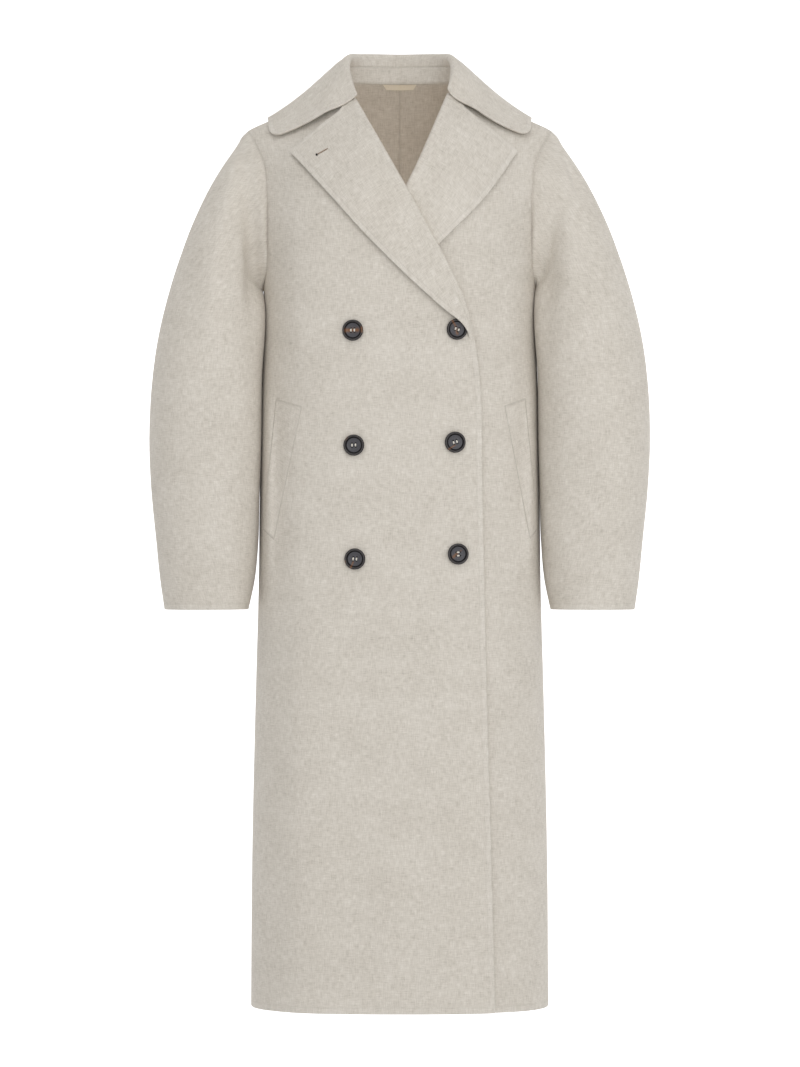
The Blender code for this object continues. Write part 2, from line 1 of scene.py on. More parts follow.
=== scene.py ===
import bpy
import numpy as np
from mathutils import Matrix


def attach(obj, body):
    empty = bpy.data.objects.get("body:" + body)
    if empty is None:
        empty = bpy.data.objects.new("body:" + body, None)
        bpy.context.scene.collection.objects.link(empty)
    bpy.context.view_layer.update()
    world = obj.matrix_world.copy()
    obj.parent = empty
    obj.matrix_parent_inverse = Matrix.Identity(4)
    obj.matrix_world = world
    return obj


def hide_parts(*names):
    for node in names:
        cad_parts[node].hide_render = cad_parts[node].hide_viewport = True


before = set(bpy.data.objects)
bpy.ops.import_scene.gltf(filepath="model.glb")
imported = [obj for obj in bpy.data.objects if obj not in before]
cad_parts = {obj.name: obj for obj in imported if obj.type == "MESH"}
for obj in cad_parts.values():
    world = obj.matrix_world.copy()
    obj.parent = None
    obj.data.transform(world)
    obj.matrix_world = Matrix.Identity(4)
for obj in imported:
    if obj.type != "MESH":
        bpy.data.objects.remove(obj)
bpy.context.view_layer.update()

# Long double-breasted coat. Metres, +Z up, -Y the front, +X the wearer's left.
# A "half" is worked out towards +X and mirrored for the wearer's right.
print("frame: nodes", len(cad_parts))


# rows of a short table turned into named columns
def rowsOf(columns, *rows):
    return dict(zip(columns.split(), np.array(rows, float).T))


# cubic pieces through values at knots, where the slope at each knot is that of its neighbours
def hermite(knots, values, at):
    slopes = np.gradient(values, knots, axis=0)
    i = np.clip(np.searchsorted(knots, at) - 1, 0, len(knots) - 2)
    step = knots[i + 1] - knots[i]
    t = (at - knots[i]) / step
    if values.ndim > 1:
        step, t = step[:, None, None], t[:, None, None]
    start = values[i] * (1 + 2 * t) * (1 - t) ** 2 + slopes[i] * step * t * (1 - t) ** 2
    end = values[i + 1] * t**2 * (3 - 2 * t) + slopes[i + 1] * step * t**2 * (t - 1)
    return start + end


# smooth curve through one column of a table, by another column
def curveAt(rows, by, name, at):
    return hermite(rows[by], rows[name], np.clip(at, rows[by][0], rows[by][-1]))


# 0 below low, 1 above high, and an S curve between
def ease(low, high, at):
    t = np.clip((at - low) / (high - low), 0, 1)
    return t * t * (3 - 2 * t)


def unit(vectors):
    return vectors / np.maximum(np.linalg.norm(vectors, axis=-1, keepdims=True), 1e-12)


def stack(*columns):
    return np.stack(np.broadcast_arrays(*columns), axis=-1)


# several columns of a table at once, as points
def lineAt(rows, by, names, at):
    return stack(*(curveAt(rows, by, name, at) for name in names.split()))


# normal of a grid of points: step along a row crossed with step along a column
def gridNormals(points, wrap=False):
    if wrap:
        across = np.roll(points, -1, axis=1) - np.roll(points, 1, axis=1)
    else:
        across = np.gradient(points, axis=1)
    return unit(np.cross(across, np.gradient(points, axis=0)))


# points spaced evenly along a line of points
def evenly(points, count):
    steps = np.linalg.norm(np.diff(points, axis=0), axis=1)
    along = np.concatenate([[0], np.cumsum(steps)])
    at = np.linspace(0, along[-1], count)
    return np.stack([np.interp(at, along, points[:, k]) for k in range(points.shape[1])], axis=1)


# patch between four boundary lines: the two ruled patches added, less the one through the corners
def fillPatch(left, right, bottom, top, u, v):
    u = u[None, :, None]
    v = v[:, None, None]
    sides = (1 - u) * left[:, None] + u * right[:, None]
    ends = (1 - v) * bottom[None] + v * top[None]
    low = (1 - u) * bottom[0] + u * bottom[-1]
    high = (1 - u) * top[0] + u * top[-1]
    return sides + ends - (1 - v) * low - v * high


# rows of points carried smoothly from row to row, at the given places along them (0 to 1)
def splineRows(rows, places):
    lengths = np.linalg.norm(np.diff(rows, axis=0), axis=-1).mean(axis=1)
    knots = np.concatenate([[0], np.cumsum(lengths)])
    return hermite(knots, rows, places * knots[-1])


# length along a grid's rows (axis 1) or columns (axis 0), counted from its start
def lengthAlong(points, axis):
    steps = np.linalg.norm(np.diff(points, axis=axis), axis=-1)
    start = np.zeros_like(np.take(steps, [0], axis=axis))
    return np.concatenate([start, np.cumsum(steps, axis=axis)], axis=axis)


# the body: level sections |x/w|^n + |y/d|^n = 1, with the depth rounded away below the shoulder line
bodyForm = {
    "sections": rowsOf(
        "z halfWidth frontDepth backDepth square",
        (-1.187, 0.1930, 0.125, 0.121, 2.7),
        (-1.000, 0.1915, 0.125, 0.120, 2.7),
        (-0.790, 0.1870, 0.123, 0.117, 2.6),
        (-0.640, 0.1830, 0.122, 0.114, 2.6),
        (-0.530, 0.1818, 0.121, 0.112, 2.6),
        (-0.400, 0.1796, 0.121, 0.112, 2.5),
        (-0.262, 0.1770, 0.124, 0.115, 2.5),
        (-0.150, 0.1880, 0.125, 0.117, 2.5),
        (-0.050, 0.2080, 0.125, 0.115, 2.5),
        (0.070, 0.2150, 0.125, 0.115, 2.5),
    ),
    "shoulder": rowsOf(
        "x z",
        (0.000, 0.052),
        (0.040, 0.036),
        (0.078, 0.012),
        (0.120, -0.015),
        (0.160, -0.036),
        (0.197, -0.053),
        (0.230, -0.072),
    ),
    "fall": {-1: 0.200, 1: 0.160},
    "round": {-1: 1.5, 1: 1.8},
    "hemZ": -1.187,
    "underarmZ": -0.262,
    "shoulderX": 0.197,
    "neckX": 0.078,
    "neckZ": 0.012,
    "backNeckZ": 0.015,
}
sections, shoulder = bodyForm["sections"], bodyForm["shoulder"]


def sectionAt(name, z):
    return curveAt(sections, "z", name, z)


def bodyY(x, z, face):
    depth = sectionAt("frontDepth" if face < 0 else "backDepth", z)
    power = sectionAt("square", z)
    across = np.clip(np.abs(x) / sectionAt("halfWidth", z), 0, 1)
    below = np.clip((curveAt(shoulder, "x", "z", np.abs(x)) - z) / bodyForm["fall"][face], 0, 1)
    bend = bodyForm["round"][face]
    rounded = (1 - (1 - below) ** bend) ** (1 / bend)
    return face * depth * (1 - across**power) ** (1 / power) * rounded


# x at an angle round the level section, and the angle at an x
def sectionX(angle, z):
    return sectionAt("halfWidth", z) * np.sign(angle) * np.abs(np.sin(angle)) ** (2 / sectionAt("square", z))


def sectionAngle(x, z):
    across = np.clip(np.abs(x) / sectionAt("halfWidth", z), 0, 1)
    return np.sign(x) * np.arcsin(across ** (sectionAt("square", z) / 2))


# cloth coordinates of a body panel: girth from the middle, and height
turnTable = np.linspace(0, np.pi / 2, 400)
turnX = sectionX(turnTable, -0.5 + 0 * turnTable)
turnY = bodyY(turnX, -0.5 + 0 * turnTable, -1)
girthTable = np.concatenate([[0], np.cumsum(np.hypot(np.diff(turnX), np.diff(turnY)))])


def panelUv(x, z):
    angle = sectionAngle(x, z)
    return stack(np.sign(angle) * np.interp(np.abs(angle), turnTable, girthTable), z)


# faces of a grid of point numbers, the grid closed round its rows, and the faces of a tube with capped ends
def gridQuads(index):
    return np.stack([index[:-1, :-1], index[:-1, 1:], index[1:, 1:], index[1:, :-1]], axis=-1).reshape(-1, 4)


def closed(index):
    return np.concatenate([index, index[:, :1]], axis=1)


def tubeFaces(index):
    return gridQuads(closed(index)).tolist() + [index[0][::-1].tolist(), index[-1].tolist()]


# a closed cloth wall: outer grid, the same grid one thickness in, and a half-round rim between
def clothShell(name, outer, thick, uv, look, seam=None, edge=None, wrap=False, flip=False, rim=5):
    far = np.full(outer.shape[:2], 1.0)
    seam = far if seam is None else seam
    edge = far if edge is None else edge
    cloth = np.concatenate([uv, seam[..., None], edge[..., None]], axis=-1)
    if flip:
        outer, cloth = outer[:, ::-1], cloth[:, ::-1]
    rows, columns = outer.shape[:2]
    total = rows * columns
    normals = gridNormals(outer, wrap)
    index = np.arange(total).reshape(rows, columns)
    if wrap:
        inside = np.pad(outer[1:-1], [(1, 1), (0, 0), (0, 0)], "edge")
        loops = [index[0][::-1], index[-1]]
        index = closed(index)
    else:
        inside = np.pad(outer[1:-1, 1:-1], [(1, 1), (1, 1), (0, 0)], "edge")
        loops = [np.concatenate([index[0, ::-1], index[1:, 0], index[-1, 1:], index[-2:0:-1, -1]])]
    points = [outer.reshape(-1, 3), (outer - normals * thick).reshape(-1, 3)]
    cloths = [cloth.reshape(-1, 4)] * 2
    faces = [gridQuads(index), gridQuads(index[:, ::-1] + total)]
    used = 2 * total
    angle = np.pi * np.arange(1, rim + 1)[:, None, None] / (rim + 1)
    for loop in loops:
        at, up = points[0][loop], normals.reshape(-1, 3)[loop]
        out = at - inside.reshape(-1, 3)[loop]
        out = unit(out - np.sum(out * up, axis=-1, keepdims=True) * up)
        ring = at - up * thick / 2 + (up * np.cos(angle) + out * np.sin(angle)) * thick / 2
        grid = used + np.arange(rim * len(loop)).reshape(rim, -1)
        faces.append(gridQuads(closed(np.concatenate([[loop], grid, [loop + total]]))))
        points.append(ring.reshape(-1, 3))
        cloths.append(np.tile(cloths[0][loop], (rim, 1)))
        used += rim * len(loop)
    cloth = np.concatenate(cloths)
    marks = {"seam": cloth[:, 2], "edge": cloth[:, 3]}
    return meshPiece(name, np.concatenate(points), np.concatenate(faces).tolist(), cloth[:, :2], look, marks)


# puts points, faces, cloth coordinates and marks into a smooth mesh object at the origin
def meshPiece(name, points, faces, uv, look, marks=None):
    mesh = bpy.data.meshes.new(name)
    mesh.from_pydata(points.tolist(), [], faces)
    mesh.polygons.foreach_set("use_smooth", np.ones(len(mesh.polygons), bool))
    layer = mesh.uv_layers.new(name="cloth")
    corner = np.empty(len(mesh.loops), np.int32)
    mesh.loops.foreach_get("vertex_index", corner)
    layer.uv.foreach_set("vector", uv[corner].astype(np.float32).reshape(-1))
    for mark, values in (marks or {}).items():
        mesh.attributes.new(mark, "FLOAT", "POINT").data.foreach_set("value", values.astype(np.float32))
    mesh.materials.append(look)
    piece = bpy.data.objects.new(name, mesh)
    bpy.context.scene.collection.objects.link(piece)
    return piece


# mirrors a half for the wearer's right
def toSide(points, side):
    return points * np.array([-1 if side == "right" else 1, 1, 1])


# every piece goes with the one body, and the nodes it stands for are hidden
def settle(piece, slot, *nodes):
    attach(piece, "root")
    if nodes:
        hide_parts(*nodes)
    return piece


# soft folds on a panel: each a trough or ridge along a line from (x0, z0) to (x1, z1), fading at its ends
def foldLift(folds, x, z):
    lift = 0 * x
    for x0, z0, x1, z1, width, height in folds:
        dx, dz = x1 - x0, z1 - z0
        length = dx * dx + dz * dz
        t = ((x - x0) * dx + (z - z0) * dz) / length
        off = ((x - x0) * dz - (z - z0) * dx) / np.sqrt(length)
        fade = np.exp(-np.maximum(np.abs(t - 0.5) * 2 - 0.55, 0) ** 2 / 0.16)
        lift = lift + height * np.exp(-((off / width) ** 2)) * fade
    return lift


# slow unevenness of hung cloth: a few long sine waves with fixed phases
def slack(u, v, height, shift):
    waves = np.sin(9 * u + 4 * v + shift) + np.sin(17 * u - 5 * v + 2.3 * shift) * 0.6
    waves = waves + np.sin(5 * u + 13 * v + 1.7 * shift) * 0.7 + np.sin(29 * u + 3 * v + 0.6 * shift) * 0.35
    return height * waves / 2.65


# gives each named input of a node its link or its plain value
def setInputs(tree, node, values):
    for name, value in values.items():
        if isinstance(value, bpy.types.NodeSocket):
            tree.links.new(value, node.inputs[name])
        else:
            node.inputs[name].default_value = value


def addNode(tree, kind, inputs=None, **settings):
    node = tree.nodes.new(kind)
    for key, value in settings.items():
        setattr(node, key, value)
    setInputs(tree, node, inputs or {})
    return node


def addMath(tree, operation, *values):
    return addNode(tree, "ShaderNodeMath", dict(enumerate(values)), operation=operation).outputs[0]


# sum of sockets, each times its share
def addSum(tree, first, *others):
    total = addMath(tree, "MULTIPLY", *first)
    for part in others:
        total = addMath(tree, "ADD", total, addMath(tree, "MULTIPLY", *part))
    return total


# bell: e to the power of minus the square of (socket - middle) / width
def addBell(tree, socket, middle, width):
    off = addMath(tree, "MULTIPLY", addMath(tree, "SUBTRACT", socket, middle), 1 / width)
    return addMath(tree, "POWER", 2.718, addMath(tree, "MULTIPLY", addMath(tree, "MULTIPLY", off, off), -1.0))


def addMix(tree, factor, first, second):
    inputs = {"Factor": factor, "A": first, "B": second}
    return addNode(tree, "ShaderNodeMix", inputs, data_type="RGBA").outputs["Result"]


def addBump(tree, height, strength, distance):
    inputs = {"Height": height, "Strength": strength, "Distance": distance}
    return addNode(tree, "ShaderNodeBump", inputs).outputs[0]


def addRamp(tree, factor, *stops):
    node = addNode(tree, "ShaderNodeValToRGB", {0: factor})
    ramp = node.color_ramp
    while len(ramp.elements) < len(stops):
        ramp.elements.new(0.5)
    for element, (place, colour) in zip(ramp.elements, stops):
        element.position = place
        element.color = (*colour, 1)
    return node.outputs[0]


def addNoise(tree, place, stretch, scale, detail, shift=0.0):
    inputs = {"Vector": place, "Scale": stretch, "Location": (shift, shift * 0.7, 0)}
    mapped = addNode(tree, "ShaderNodeMapping", inputs).outputs[0]
    inputs = {"Vector": mapped, "Scale": scale, "Detail": detail}
    return addNode(tree, "ShaderNodeTexNoise", inputs).outputs["Fac"]


def clothPlace(tree):
    return addNode(tree, "ShaderNodeUVMap", uv_map="cloth").outputs[0]


def readMark(tree, mark):
    return addNode(tree, "ShaderNodeAttribute", attribute_name=mark).outputs["Fac"]


# heathered wool: streaks along and across the cloth, fine fibres and slow mottling added to one tone,
# with a groove at a seam and a felled line a few millimetres inside an edge, both pressed in and darkened by
# painted shade
woolForm = {
    "contrast": 1.35,
    "bumpDepth": 0.0007,
    "grooveWidth": 0.0016,
    "felledAt": 0.0062,
    "felledWidth": 0.0011,
    "stripFade": 0.0012,
    # painted shade colour for the seam grooves and the felled line
    "groove": (0.26, 0.235, 0.20, 1),
    # painted highlight colour for the strip inside each edge
    "edgeHighlight": (0.88, 0.85, 0.80, 1),
}


def makeWoolGroup():
    form = woolForm
    tree = bpy.data.node_groups.new("heatheredWool", "ShaderNodeTree")
    sockets = {
        "INPUT": {"Vector": ["Place"], "Float": ["Seam", "Edge", "Contrast", "SeamShade"]},
        "OUTPUT": {"Color": ["Colour"], "Float": ["Roughness", "Height"]},
    }
    for way, kinds in sockets.items():
        for kind, names in kinds.items():
            for name in names:
                tree.interface.new_socket(name, in_out=way, socket_type="NodeSocket" + kind)
    take = tree.nodes.new("NodeGroupInput").outputs
    give = tree.nodes.new("NodeGroupOutput")
    place = take["Place"]
    warp = addNoise(tree, place, (950, 95, 1), 1.0, 2.0)
    weft = addNoise(tree, place, (110, 900, 1), 1.0, 2.0, 31.0)
    fibre = addNoise(tree, place, (1, 1, 1), 1500.0, 3.0, 7.0)
    mottle = addNoise(tree, place, (1, 1, 1), 22.0, 3.0, 3.0)
    cloud = addNoise(tree, place, (1, 1, 1), 140.0, 2.0, 5.0)
    tone = addSum(tree, (warp, 0.34), (weft, 0.34), (fibre, 0.30), (mottle, 0.16), (cloud, 0.20))
    tone = addMath(tree, "MULTIPLY_ADD", addMath(tree, "SUBTRACT", tone, 0.67), take["Contrast"], 0.5)
    colour = addRamp(
        tree,
        tone,
        (0.20, (0.430, 0.392, 0.335)),
        (0.42, (0.600, 0.556, 0.490)),
        (0.56, (0.672, 0.628, 0.562)),
        (0.78, (0.800, 0.762, 0.700)),
    )
    groove = addBell(tree, take["Seam"], 0.0, form["grooveWidth"])
    line = addBell(tree, take["Edge"], form["felledAt"], form["felledWidth"])
    # painted shade: the colour darkens towards the groove tone in the seam groove and along the felled line
    dark = addSum(tree, (groove, take["SeamShade"]), (line, 0.05))
    # painted highlight: a lighter strip from the edge in to the felled line
    edgeHighlight = addMath(tree, "SUBTRACT", form["felledAt"], take["Edge"])
    edgeHighlight = addMath(tree, "MAXIMUM", addMath(tree, "MULTIPLY", edgeHighlight, 1 / form["stripFade"]), 0.0)
    edgeHighlight = addMath(tree, "MULTIPLY", addMath(tree, "MINIMUM", edgeHighlight, 1.0), 0.08)
    raised = (warp, 0.35), (weft, 0.35), (fibre, 0.55), (cloud, 0.35), (groove, -1.2), (line, -0.40)
    outputs = {
        "Colour": addMix(tree, edgeHighlight, addMix(tree, dark, colour, form["groove"]), form["edgeHighlight"]),
        "Roughness": addMath(tree, "MULTIPLY_ADD", fibre, 0.12, 0.84),
        "Height": addSum(tree, *raised),
    }
    setInputs(tree, give, outputs)
    return tree


woolGroup = makeWoolGroup()


def newMaterial(name):
    material = bpy.data.materials.new(name)
    material.use_nodes = True
    return material, material.node_tree, material.node_tree.nodes["Principled BSDF"]


# cloth material: the wool group on the piece's own cloth coordinates
def woolMaterial(name, seamShade):
    material, tree, shader = newMaterial(name)
    inputs = {
        "Place": clothPlace(tree),
        "Seam": readMark(tree, "seam"),
        "Edge": readMark(tree, "edge"),
        "Contrast": woolForm["contrast"],
        "SeamShade": seamShade,
    }
    wool = addNode(tree, "ShaderNodeGroup", inputs, node_tree=woolGroup).outputs
    looks = {
        "Base Color": wool["Colour"],
        "Roughness": wool["Roughness"],
        "Normal": addBump(tree, wool["Height"], 0.55, woolForm["bumpDepth"]),
        "Sheen Weight": 0.18,
        "Sheen Roughness": 0.55,
        "Sheen Tint": (1.0, 0.97, 0.93, 1),
        "Specular IOR Level": 0.12,
    }
    setInputs(tree, shader, looks)
    return material


# the number is how dark the painted shade in the seams is; on the welts it outlines their edges
woolBody = woolMaterial("woolBody", 0.16)
woolWelt = woolMaterial("woolWelt", 0.30)
print("wool materials ready")


# one of a pair of wool pieces: mirrored for the wearer's right, and on its own stretch of cloth
def sidePiece(kind, side, points, thick, uv, stretch, look=woolBody, node=None, flipFor="right", **more):
    uv = uv + np.array([stretch if side == "right" else stretch + 2.0, 0])
    name, flip = f"wool_{kind}_{side}", side == flipFor
    piece = clothShell(name, toSide(points, side), thick, uv, look, flip=flip, **more)
    return settle(piece, "wool", f"{node or kind}_{side}")


def bothSides(make, what):
    for side in ("right", "left"):
        make(side)
    print(what, "done")


# the two fronts: edge line, roll line, overlap and the soft folds that show
frontForm = {
    "columns": 104,
    "rowsLow": 120,
    "rowsHigh": 84,
    "thick": 0.0030,
    "edge": rowsOf(
        "z x",
        (-1.187, -0.1210),
        (-0.997, -0.1160),
        (-0.782, -0.1102),
        (-0.530, -0.1046),
        (-0.365, -0.0999),
        (-0.327, -0.0945),
    ),
    "tuck": 0.0050,
    "overLift": 0.0060,
    "overLapelLift": 0.0088,
    "overFromX": 0.168,
    "overFullX": 0.128,
    "sideX": 0.170,  # beside the sleeves each front lies flat almost to its side
    "sideWidth": 0.009,
    "sideLift": 0.0140,
    "folds": {
        "right": (
            (0.150, -0.300, 0.128, -0.420, 0.012, -0.0016),
            (0.120, -0.560, 0.140, -0.900, 0.030, 0.0022),
            (0.060, -0.640, 0.070, -1.150, 0.035, -0.0018),
        ),
        "left": (
            (0.128, -0.345, 0.132, -0.405, 0.006, -0.0016),
            (0.142, -0.330, 0.147, -0.410, 0.008, 0.0014),
            (0.150, -0.600, 0.155, -1.000, 0.022, -0.0022),
        ),
    },
}
armhole = rowsOf(
    "along x z",
    (0.00, 0.1770, -0.262),
    (0.12, 0.1728, -0.240),
    (0.35, 0.1704, -0.196),
    (0.60, 0.1717, -0.1355),
    (0.80, 0.1768, -0.095),
    (1.00, 0.1970, -0.053),
)
lapelForm = {
    "right": rowsOf(
        "along rollX rollZ edgeX edgeZ",
        (0, -0.0945, -0.3270, -0.0908, -0.3288),
        (0.5, -0.0905, -0.3060, -0.0790, -0.3090),
        (1, -0.0849, -0.2839, -0.0590, -0.2925),
        (2, -0.0640, -0.2370, -0.0060, -0.2445),
        (3, -0.0350, -0.1830, 0.0475, -0.1900),
        (4, 0.0050, -0.1105, 0.0960, -0.1345),
        (5, 0.0547, -0.0190, 0.1372, -0.0880),
    ),
    "left": rowsOf(
        "along rollX rollZ edgeX edgeZ",
        (0, -0.0945, -0.3270, -0.0915, -0.3285),
        (1, -0.0800, -0.2839, -0.0500, -0.2950),
        (2, -0.0540, -0.2370, 0.0050, -0.2500),
        (3, -0.0210, -0.1830, 0.0600, -0.1960),
        (4, 0.0185, -0.1105, 0.1062, -0.1472),
        (5, 0.0600, -0.0125, 0.1491, -0.0855),
    ),
    "lift": {"right": (0.0012, 0.0046, 0.0042), "left": (0.0012, 0.0022, 0.0026)},
    "footLift": 0.0056,
    "thick": 0.0028,
    "underCollar": 0.006,
    "underCollarDepth": 0.0030,
    "behind": 0.014,
    "behindDepth": 0.0052,
    "rows": 120,
    "columns": 46,
}


# how far the right front stands out where it lies over the left one
def overLift(side, x, z):
    if side == "left":
        return 0 * x
    lapel = (frontForm["overLapelLift"] - frontForm["overLift"]) * ease(-0.40, -0.335, z)
    reach = ease(-frontForm["overFromX"], -frontForm["overFullX"], -x)
    return (frontForm["overLift"] + lapel) * reach * ease(0.035, 0.125, -z)


# a front's outer face: the body's depth, the overlap, and its folds taken along -Y
def frontPoints(side, x, z):
    folds = foldLift(frontForm["folds"][side], x, z)
    loose = slack(x, z, 0.0008, 1.0 if side == "right" else 2.0) * ease(-0.15, -0.45, z)
    level = ease(0.0, 0.05, -bodyY(x, z, -1))
    flat = np.exp(-(((x - frontForm["sideX"]) / frontForm["sideWidth"]) ** 2))
    flat = frontForm["sideLift"] * flat * ease(-0.32, -0.48, z) * ease(-0.70, -0.54, z)
    return stack(x, bodyY(x, z, -1) - overLift(side, x, z) - (folds + loose + flat) * level, z)


def frontNormals(side, x, z):
    near = 0.0004
    across = frontPoints(side, x + near, z) - frontPoints(side, x - near, z)
    along = frontPoints(side, x, z + near) - frontPoints(side, x, z - near)
    return unit(np.cross(across, along))


def armholeLine(count):
    return evenly(lineAt(armhole, "along", "x z", np.linspace(0, 1, 400)), count)


# a seam drawn in: the wall dips along its normal, most at the seam itself
def drawIn(points, away, depth, width, face):
    normals = gridNormals(points) * -face
    return points - normals * (depth * np.exp(-((away / width) ** 2)))[..., None]


def frontGrid(side):
    form, body, lapel = frontForm, bodyForm, lapelForm[side]
    u = 1 - (1 - np.linspace(0, 1, form["columns"] + 1)) ** 1.5  # closer towards the armhole
    z = np.linspace(body["hemZ"], body["underarmZ"], form["rowsLow"] + 1)
    roll = evenly(lineAt(lapel, "along", "rollX rollZ", np.linspace(0, 5, 500)), 900)
    roll[:, 0] += form["tuck"] * ease(-0.327, -0.300, roll[:, 1])  # hidden inside the lapel's roll
    edgeX = curveAt(form["edge"], "z", "x", z)
    edgeX = np.where(z > form["edge"]["z"][-1], np.interp(z, roll[:, 1], roll[:, 0]), edgeX)
    start = sectionAngle(edgeX, z)[:, None]
    low = stack(sectionX(start + (np.pi / 2 - start) * u[None], z[:, None]), z[:, None])
    t = np.linspace(0, 1, 40)[1:, None]
    neck = roll[-1] + (np.array([body["neckX"], body["neckZ"]]) - roll[-1]) * t
    left = np.concatenate([low[-1:, 0], roll[roll[:, 1] > body["underarmZ"]], neck])
    topX = body["neckX"] + (body["shoulderX"] - body["neckX"]) * u
    top = stack(topX, curveAt(shoulder, "x", "z", topX))
    count = form["rowsHigh"] + 1
    high = fillPatch(evenly(left, count), armholeLine(count), low[-1], top, u, np.linspace(0, 1, count))
    flat = np.concatenate([low, high[1:]])
    points = frontPoints(side, flat[..., 0], flat[..., 1])
    points[-1, :, 1] = 0
    points[: form["rowsLow"] + 1, -1, 1] = 0
    return points, flat


def makeFront(side):
    points, flat = frontGrid(side)
    across, up = lengthAlong(points, 1), lengthAlong(points, 0)
    toArm = across[:, -1:] - across
    seam = np.minimum(toArm, up[-1:] - up)
    onArm = (np.arange(len(points)) > frontForm["rowsLow"])[:, None]
    points = drawIn(points, np.where(onArm, toArm, 1.0), 0.0006, 0.0045, -1)
    edge = np.where(flat[..., 1] < -0.33, np.minimum(across, up), 1.0)
    uv = panelUv(flat[..., 0], flat[..., 1])
    piece = sidePiece("front", side, points, frontForm["thick"], uv, 0.0, seam=seam, edge=edge)


bothSides(makeFront, "fronts")

# the back halves: plain, with a centre seam
backForm = {"columns": 70, "rowsLow": 90, "rowsHigh": 70, "thick": 0.0028, "neckPart": 0.42}


def backGrid():
    form, body = backForm, bodyForm
    u = 1 - (1 - np.linspace(0, 1, form["columns"] + 1)) ** 1.4
    z = np.linspace(body["hemZ"], body["underarmZ"], form["rowsLow"] + 1)
    low = stack(sectionX(np.pi / 2 * u[None], z[:, None]), z[:, None])
    v = np.linspace(0, 1, form["rowsHigh"] + 1)
    left = stack(0 * v, body["underarmZ"] + (body["backNeckZ"] - body["underarmZ"]) * v)
    part = form["neckPart"]
    neckT = np.clip(u / part, 0, 1)
    lineT = np.clip((u - part) / (1 - part), 0, 1)
    topX = body["neckX"] * neckT + (body["shoulderX"] - body["neckX"]) * lineT
    neckZ = body["backNeckZ"] + (body["neckZ"] - body["backNeckZ"]) * neckT**2
    onNeck = u <= part
    top = stack(topX, np.where(onNeck, neckZ, curveAt(shoulder, "x", "z", topX)))
    high = fillPatch(left, armholeLine(form["rowsHigh"] + 1), low[-1], top, u, v)
    flat = np.concatenate([low, high[1:]])
    points = stack(flat[..., 0], bodyY(flat[..., 0], flat[..., 1], 1), flat[..., 1])
    points[-1, ~onNeck, 1] = 0
    points[: form["rowsLow"] + 1, -1, 1] = 0
    return points, flat


def makeBack(side):
    points, flat = backGrid()
    across, up = lengthAlong(points, 1), lengthAlong(points, 0)
    toArm, toTop = across[:, -1:] - across, up[-1:] - up
    seam = np.minimum(np.minimum(toArm, across), toTop)
    onArm = (np.arange(len(points)) > backForm["rowsLow"])[:, None]
    loose = slack(flat[..., 0], flat[..., 1], 0.0010, 3.0 if side == "right" else 4.0)
    inner = ease(0.0, 0.04, toArm) * ease(0.0, 0.04, across) * ease(0.02, 0.12, toTop)
    points = points - gridNormals(points) * (loose * inner)[..., None]
    points = drawIn(points, np.where(onArm, toArm, 1.0), 0.0014, 0.0045, 1)
    uv = panelUv(flat[..., 0], flat[..., 1])
    piece = sidePiece("back", side, points, backForm["thick"], uv, 4.0, flipFor="left", seam=seam, edge=up)


bothSides(makeBack, "backs")

# sleeves: level ovals from shoulder to cuff that start on the armhole seam
sleeveForm = {
    "rings": rowsOf(
        "outerX outerZ innerX innerZ halfDepth forward",
        (0.2219, -0.0884, 0.1794, -0.2660, 0.0560, 0.004),
        (0.2401, -0.1170, 0.1790, -0.2710, 0.0600, 0.009),
        (0.2661, -0.1690, 0.1784, -0.2800, 0.0650, 0.015),
        (0.2856, -0.2210, 0.1776, -0.2960, 0.0690, 0.022),
        (0.3012, -0.2730, 0.1777, -0.3250, 0.0710, 0.028),
        (0.3129, -0.3250, 0.1788, -0.3600, 0.0715, 0.031),
        (0.3205, -0.3850, 0.1790, -0.4050, 0.0710, 0.033),
        (0.3233, -0.4550, 0.1793, -0.4620, 0.0690, 0.034),
        (0.3205, -0.5200, 0.1804, -0.5220, 0.0650, 0.035),
        (0.3142, -0.5850, 0.1822, -0.5850, 0.0580, 0.036),
        (0.3090, -0.6370, 0.1870, -0.6370, 0.0500, 0.036),
        (0.3038, -0.6735, 0.1946, -0.6735, 0.0440, 0.036),
    ),
    "square": 2.15,
    "around": 72,
    "along": 170,
    "thick": 0.0028,
    "frontFolds": {  # soft ridges and troughs in front: x0, z0, x1, z1, half width, height
        "right": (
            (0.207, -0.077, 0.231, -0.191, 0.011, 0.0036),
            (0.231, -0.191, 0.249, -0.335, 0.013, 0.0034),
            (0.188, -0.130, 0.189, -0.285, 0.010, -0.0080),
            (0.262, -0.130, 0.283, -0.300, 0.014, -0.0022),
            (0.205, -0.470, 0.262, -0.560, 0.012, -0.0016),
        ),
        "left": (
            (0.215, -0.084, 0.233, -0.146, 0.006, -0.0042),
            (0.214, -0.168, 0.221, -0.279, 0.012, 0.0036),
            (0.192, -0.200, 0.195, -0.285, 0.008, -0.0024),
            (0.251, -0.150, 0.272, -0.330, 0.015, 0.0026),
            (0.212, -0.500, 0.275, -0.570, 0.012, -0.0016),
        ),
    },
    # the others, by their place round the sleeve in degrees: 0 outside, 90 in front and 180 inside
    "roundFolds": rowsOf(
        "roundStart roundEnd halfWidth right left start end",
        (161, 160, 25, 0.0016, 0.0018, 0.35, 0.95),
        (192, 192, 26, -0.0022, 0.0, 0.36, 0.86),
        (161, 161, 25, 0.0068, 0.0068, -0.15, 0.50),
        (250, 240, 26, -0.0060, -0.0060, 0.10, 0.58),
        (300, 292, 22, 0.0040, 0.0040, 0.12, 0.60),
    ),
    "uvMiddleX": (0.1717, 0.073),  # of the ellipse at the armhole, and what it moves out further down
}


